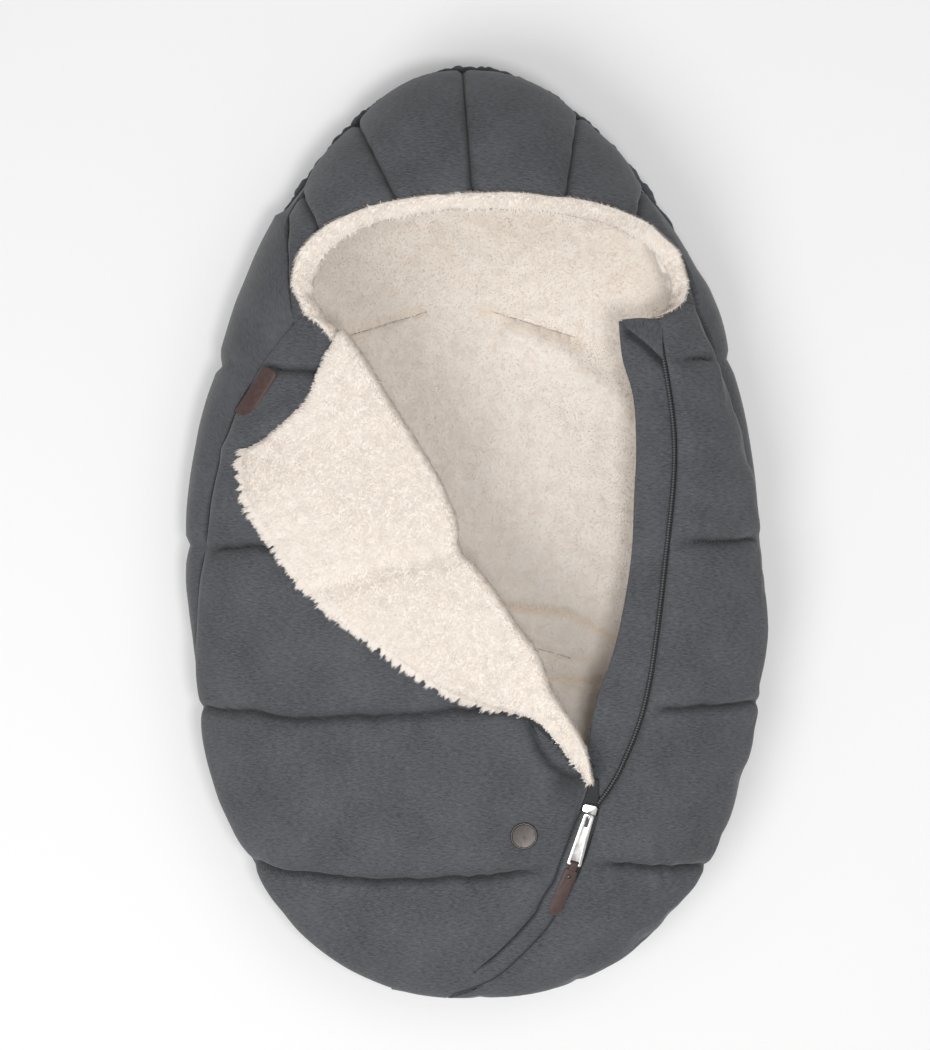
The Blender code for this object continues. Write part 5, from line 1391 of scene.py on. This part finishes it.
def makeSideTag():
    t = sideTag
    u = np.linspace(0, 1, t["columns"])[:, None, None]
    v = np.linspace(0, 1, t["rows"])[None, :, None]
    head = np.array(t["head"])
    foot = np.array(t["foot"])
    plan = (head[0] * (1 - v) + head[1] * v) * (1 - u) + (foot[0] * (1 - v) + foot[1] * v) * u
    # the free corner at the top is rounded off
    along = (foot[1] - head[1]) / np.linalg.norm(foot[1] - head[1])
    across = (head[0] - head[1]) / np.linalg.norm(head[0] - head[1])
    centre = head[1] + (along + across) * t["corner"]
    offset = plan - centre
    a = (offset * along).sum(-1)
    b = (offset * across).sum(-1)
    reach = np.hypot(a, b)
    outside = (a < 0) & (b < 0) & (reach > t["corner"])
    plan[outside] = centre + offset[outside] * (t["corner"] / reach[outside])[:, None]
    base = onDome(plan)
    waver = t["waver"] * softNoise(base[..., 0] / 0.02, base[..., 1] / 0.02, 111)
    base[..., 2] += t["lift"] + t["crown"] * np.sin(math.pi * v[..., 0]) + waver
    run = runLength(base, 0)
    side = runLength(base, 1)
    gap = np.minimum(np.minimum(run, run[-1:] - run), np.minimum(side, side[:, -1:] - side))
    base[..., 2] -= t["edgeDrop"] * np.exp(-(gap / 0.0007) ** 2)
    base[..., 2] -= t["groove"] * np.exp(-((gap - t["rim"]) / 0.00035) ** 2)
    base = faceUp(base)
    return layCloth("sideTag", base, leather, t["thickness"])


settle(makeSideTag(), "muff", "leather", "leather_side_tag")


# gathered elastic edge behind the hood
elasticHem = {"from": 35.2, "to": 144.8, "radius": 0.0030, "outset": 0.0006, "height": 0.0430,
              "count": 900, "length": 0.46, "ruffle": 0.0011, "outShare": 0.8, "waver": 0.22}


def makeHem():
    h = elasticHem
    angles = np.linspace(h["from"], h["to"], h["count"])
    plan = planPoint(angles, 1.0, -h["outset"])
    way = np.linspace(0, 1, h["count"])
    run = way * h["length"]
    ripple = softNoise(run / 0.0052, run * 0, 121) + 0.6 * softNoise(run / 0.0024, run * 0, 122)
    out = plan - np.array([0.0, 0.1])
    out /= np.linalg.norm(out, axis=1, keepdims=True)
    plan = plan + out * (ripple * h["ruffle"] * h["outShare"])[:, None]
    z = h["height"] + ripple * h["ruffle"]
    path = np.concatenate([plan, z[:, None]], axis=1)
    size = 1 + h["waver"] * softNoise(run / 0.004, run * 0, 123)
    return layTube("elasticHem", path, h["radius"], greyTwill, ring=14, modulate=size)


settle(makeHem(), "muff", "shell", "hood_elastic_hem")


# harness slots
harnessSlots = {
    "leftShoulder": {"centre": (-0.0750, 0.1670), "length": 0.070, "tilt": 17.0, "bow": 0.0,
                     "node": "left_shoulder_slot_binding"},
    "rightShoulder": {"centre": (0.0450, 0.1670), "length": 0.070, "tilt": -17.0, "bow": 0.0,
                      "node": "right_shoulder_slot_binding"},
    "seat": {"centre": (-0.0050, -0.0900), "length": 0.160, "tilt": 0.0, "bow": 0.014,
             "node": "seat_slot_binding"},
}
slotLook = {"holeWidth": 0.0100, "lipGap": 0.0004, "bindingRadius": 0.0014, "bindingGap": 0.0006,
            "bindingRise": 0.0016, "steps": 60, "below": 0.01, "depth": 0.0600}


def slotRing(slot, width, count):
    # closed run round a round-ended slot, whose middle stands proud of its ends by the bow
    s = harnessSlots[slot]
    half = (s["length"] - width) / 2
    straight = count // 2 - 8
    points = []
    for side in (1, -1):
        for x in np.linspace(side * half, -side * half, straight):
            points.append((x, side * width / 2 - s["bow"] * (x / half) ** 2))
        for turn in np.linspace(0, math.pi, 10)[1:-1]:
            points.append((-side * (half + math.sin(turn) * width / 2),
                           side * math.cos(turn) * width / 2 - s["bow"]))
    points = np.array(points)
    turn = math.radians(s["tilt"])
    spin = np.array([[math.cos(turn), -math.sin(turn)], [math.sin(turn), math.cos(turn)]])
    return points @ spin.T + np.array(s["centre"])


def cutSlots(item, width):
    # each slot is cut through the pad with a prism that is then thrown away
    for slot in harnessSlots:
        ring = slotRing(slot, width, slotLook["steps"])
        bpy.ops.object.select_all(action="DESELECT")
        bpy.ops.mesh.primitive_circle_add(vertices=len(ring), radius=1, fill_type="NGON")
        cutter = bpy.context.object
        corners = np.concatenate([ring, np.full((len(ring), 1), -slotLook["below"])], axis=1)
        cutter.data.vertices.foreach_set("co", corners.astype(np.float32).ravel())
        bpy.ops.object.mode_set(mode="EDIT")
        bpy.ops.mesh.select_all(action="SELECT")
        bpy.ops.mesh.extrude_region_move(TRANSFORM_OT_translate={"value": (0, 0, slotLook["depth"])})
        bpy.ops.mesh.select_all(action="SELECT")
        bpy.ops.mesh.normals_make_consistent(inside=False)
        bpy.ops.object.mode_set(mode="OBJECT")
        cut = item.modifiers.new("slot", "BOOLEAN")
        cut.operation = "DIFFERENCE"
        cut.object = cutter
        cut.solver = "EXACT"
        applyAll(item)
        bpy.data.objects.remove(cutter, do_unlink=True)


def makeBinding(slot):
    s = harnessSlots[slot]
    ring = slotRing(slot, slotLook["holeWidth"] + slotLook["bindingGap"], slotLook["steps"])
    z = floorHeight(outlineShare(ring[:, 0], ring[:, 1]))
    path = np.concatenate([ring, z[:, None] + slotLook["bindingRise"]], axis=1)
    path = np.concatenate([path, path[:1]])
    item = layTube(slot + "Binding", path, slotLook["bindingRadius"], greyTwill, 10, closed=True)
    return settle(item, "muff", "shell", s["node"])


cutSlots(backCloth, slotLook["holeWidth"])
cutSlots(bowlFleece, slotLook["lipGap"])
for slot in harnessSlots:
    makeBinding(slot)
print("tag, hem and slots done")


# pile of the fleece
# the tones run from root to tip; the darker roots are painted shade
pileLook = {"width": 0.00062, "length": 0.0034, "lean": 1.15, "clump": 0.0060, "swirl": 0.28, "sink": 0.0006,
            "spread": (0.55, 1.25), "tuftLength": 2.1, "tuftSize": 0.0022, "tuftLean": 2.5, "tuftFrom": 0.965,
            "bend": (0.55, 1.5), "midWidth": 0.85, "jitter": 0.55, "wind": -2.0,
            "toneSpread": 0.26, "tones": (0.60, 0.60, 0.70, 0.70, 0.80),
            "counts": {"flap": 64000, "tufts": 14000, "bowl": 64000, "rim": 26000, "hood": 9000}}


def growPile(name, points, count, seed, body, length=1.0, weight=None, comb=None, tuft=None):
    # tapered fibres, rooted all over a surface and leaning in clumps
    p = pileLook
    random = np.random.default_rng(seed)
    normal = gridNormals(points)
    cellA = points[1:, :-1] - points[:-1, :-1]
    cellB = points[:-1, 1:] - points[:-1, :-1]
    area = np.linalg.norm(np.cross(cellA, cellB), axis=-1)
    if weight is not None:
        area = area * weight[:-1, :-1]
    pick = random.choice(area.size, count, p=(area / area.sum()).ravel())
    i, j = np.unravel_index(pick, area.shape)
    u = random.random(count)[:, None]
    v = random.random(count)[:, None]
    root = (points[i, j] * (1 - u) * (1 - v) + points[i + 1, j] * u * (1 - v)
            + points[i, j + 1] * (1 - u) * v + points[i + 1, j + 1] * u * v)
    up = normal[i, j]
    x, y = root[:, 0], root[:, 1]
    swirl = math.pi * (softNoise(x / p["clump"], y / p["clump"], seed) * p["swirl"]
                       + softNoise(x / 0.045, y / 0.045, seed + 1) * 0.5)
    swirl = swirl + p["wind"] + random.normal(0, p["jitter"], count)
    lean = np.stack([np.cos(swirl), np.sin(swirl), np.zeros(count)], axis=1)
    if comb is not None:
        lean = lean + comb[i, j]
    lean -= up * (lean * up).sum(1, keepdims=True)
    lean /= np.maximum(np.linalg.norm(lean, axis=1, keepdims=True), 1e-9)
    amount = p["lean"] * random.uniform(*p["spread"], count)[:, None]
    reach = (p["length"] * length * random.uniform(*p["spread"], count))[:, None]
    if tuft:
        # neighbours reach equally far, in ragged tufts
        reach = reach * (0.75 + 0.65 * softNoise(x / tuft, y / tuft, seed + 7))[:, None]
    run = up + lean * amount
    run /= np.linalg.norm(run, axis=1, keepdims=True)
    late = up * p["bend"][0] + lean * (amount * p["bend"][1])
    late /= np.linalg.norm(late, axis=1, keepdims=True)
    side = np.cross(run, up)
    side /= np.maximum(np.linalg.norm(side, axis=1, keepdims=True), 1e-9)
    half = side * (p["width"] / 2 * random.uniform(0.7, 1.3, count))[:, None]
    root = root - up * p["sink"]
    middle = root + run * reach * 0.55
    tip = middle + late * reach * 0.45
    waist = half * p["midWidth"]
    corners = np.stack([root - half, root + half, middle + waist, middle - waist, tip], axis=1)
    mesh = bpy.data.meshes.new(name)
    first = np.arange(count)[:, None] * 5
    quads = first + np.array([[0, 1, 2, 3]])
    tips = first + np.array([[3, 2, 4]])
    mesh.vertices.add(count * 5)
    mesh.vertices.foreach_set("co", corners.astype(np.float32).ravel())
    mesh.loops.add(count * 7)
    loops = np.concatenate([quads, tips], axis=1)
    mesh.loops.foreach_set("vertex_index", loops.astype(np.int32).ravel())
    mesh.polygons.add(count * 2)
    starts = np.arange(count)[:, None] * 7 + np.array([[0, 4]])
    mesh.polygons.foreach_set("loop_start", starts.astype(np.int32).ravel())
    mesh.update(calc_edges=True)
    tone = mesh.attributes.new("fibreTone", "FLOAT", "POINT")
    # each fibre is darker at its root than at its tip; the dark root is painted shade
    own = 0.5 + 0.2 * softNoise(x / 0.012, y / 0.012, seed + 5) + random.normal(0, 0.10, count)
    value = own[:, None] * p["toneSpread"] + np.array([p["tones"]])
    tone.data.foreach_set("value", np.clip(value, 0, 1).astype(np.float32).ravel())
    side = int(math.ceil(math.sqrt(count)))
    cell = 1.0 / side
    column = (np.arange(count) % side)[:, None] * cell
    row = (np.arange(count) // side)[:, None] * cell
    across = np.array([[0.2, 0.8, 0.75, 0.25, 0.25, 0.75, 0.5]]) * cell + column
    along = np.array([[0.1, 0.1, 0.5, 0.5, 0.5, 0.5, 0.9]]) * cell + row
    layer = mesh.uv_layers.new(name="OFBake")
    layer.data.foreach_set("uv", np.stack([across, along], axis=-1).astype(np.float32).ravel())
    mesh.materials.append(creamPile)
    item = bpy.data.objects.new(name, mesh)
    bpy.context.scene.collection.objects.link(item)
    pickOnly(item)
    bpy.ops.object.shade_smooth()
    return settle(item, body, "fleece", bend="fleece" if body == "flap" else None)


def shown(points, low, high):
    # 1 where a surface looks up through the mouth of the muff
    x, y = points[..., 0], points[..., 1]
    return ((x > low[0]) & (x < high[0]) & (y > low[1]) & (y < high[1])).astype(float)


def outward(points, amount):
    # leans the last rows out over the edge of the cloth
    away = points[:, -1:] - points[:, -8:-7]
    away = away / np.linalg.norm(away, axis=-1, keepdims=True)
    return np.broadcast_to(away * amount, points.shape)


counts = pileLook["counts"]
growPile("flapPile", flapPoints, counts["flap"], 201, "flap")
columns, rows = flapPoints.shape[:2]
edgeRows = (np.arange(rows) > rows * pileLook["tuftFrom"])[None, :] * np.ones((columns, rows))
growPile("flapTufts", flapPoints, counts["tufts"], 205, "flap", pileLook["tuftLength"], edgeRows,
         outward(flapPoints, pileLook["tuftLean"]), pileLook["tuftSize"])
growPile("bowlPile", bowlPoints, counts["bowl"], 202, "muff", 1.0,
         shown(bowlPoints, (-0.155, -0.200), (0.165, 0.300)) + 0.02)
growPile("rimPile", rimPoints, counts["rim"], 203, "muff", 1.2)
growPile("hoodPile", hoodInner, counts["hood"], 204, "muff", 1.0,
         np.clip(1 - runLength(hoodInner, 1) / 0.05, 0.02, 1))
print("pile grown")


# floor, light and camera
studio = {"floor": 0.86, "glow": 0.14, "world": 0.30, "aim": (0, 0, 0.05),
          "cameraHeight": 3.0, "focusHeight": 0.06, "middle": (-0.0108, 0.0044), "frameHeight": 0.840,
          "lamps": (("keyLamp", (-0.85, -0.95, 2.1), 1.4, 23), ("fillLamp", (0.9, 0.6, 2.3), 1.6, 7),
                    ("topLamp", (0.26, -0.24, 2.55), 0.44, 18))}


def makeStage():
    bpy.ops.object.select_all(action="DESELECT")
    bpy.ops.mesh.primitive_plane_add(size=8, location=(0, 0, 0))
    floor = bpy.context.object
    floor.name = "floor"
    paper = newMaterial("paleFloor", (studio["floor"],) * 3, 0.9)
    tree = paper.node_tree
    output = tree.nodes["Material Output"]
    shader = tree.nodes["Principled BSDF"]
    ray = addNode(tree, "LightPath", -400, 300)
    glow = addNode(tree, "Emission", -200, 200)
    glow.inputs["Color"].default_value = (1, 1, 1, 1)
    glow.inputs["Strength"].default_value = studio["glow"]
    add = addNode(tree, "AddShader", 100, 100)
    pick = addNode(tree, "MixShader", 250, 0)
    first = addNode(tree, "Math", -150, 450, operation="MAXIMUM")
    second = addNode(tree, "Math", 50, 400, operation="MAXIMUM")
    wire(tree, (shader, 0, add, 0), (glow, 0, add, 1), (ray, "Is Camera Ray", first, 0),
         (ray, "Is Glossy Ray", first, 1), (first, 0, second, 0), (ray, "Is Transmission Ray", second, 1),
         (second, 0, pick, 0), (shader, 0, pick, 1), (add, 0, pick, 2), (pick, 0, output, "Surface"))
    floor.data.materials.append(paper)
    world = bpy.data.worlds.new("studioWorld")
    bpy.context.scene.world = world
    world.use_nodes = True
    background = world.node_tree.nodes["Background"]
    background.inputs["Color"].default_value = (1, 1, 1, 1)
    background.inputs["Strength"].default_value = studio["world"]


def addLamp(name, place, size, power):
    bpy.ops.object.light_add(type="AREA", location=place)
    lamp = bpy.context.object
    lamp.name = name
    lamp.data.shape = "DISK"
    lamp.data.size = size
    lamp.data.energy = power
    lamp.rotation_euler = (Vector(studio["aim"]) - Vector(place)).to_track_quat("-Z", "Y").to_euler()


def makeCamera():
    x, y = studio["middle"]
    bpy.ops.object.camera_add(location=(x, y, studio["cameraHeight"]))
    camera = bpy.context.object
    camera.name = "photoCamera"
    camera.rotation_euler = (0, 0, 0)
    camera.data.sensor_width = 36
    camera.data.lens = 36 * (studio["cameraHeight"] - studio["focusHeight"]) / studio["frameHeight"]
    camera.data.clip_end = 30
    bpy.context.scene.camera = camera


makeStage()
for lamp in studio["lamps"]:
    addLamp(*lamp)
makeCamera()
bpy.context.scene.view_settings.view_transform = "Standard"
print("stage set")
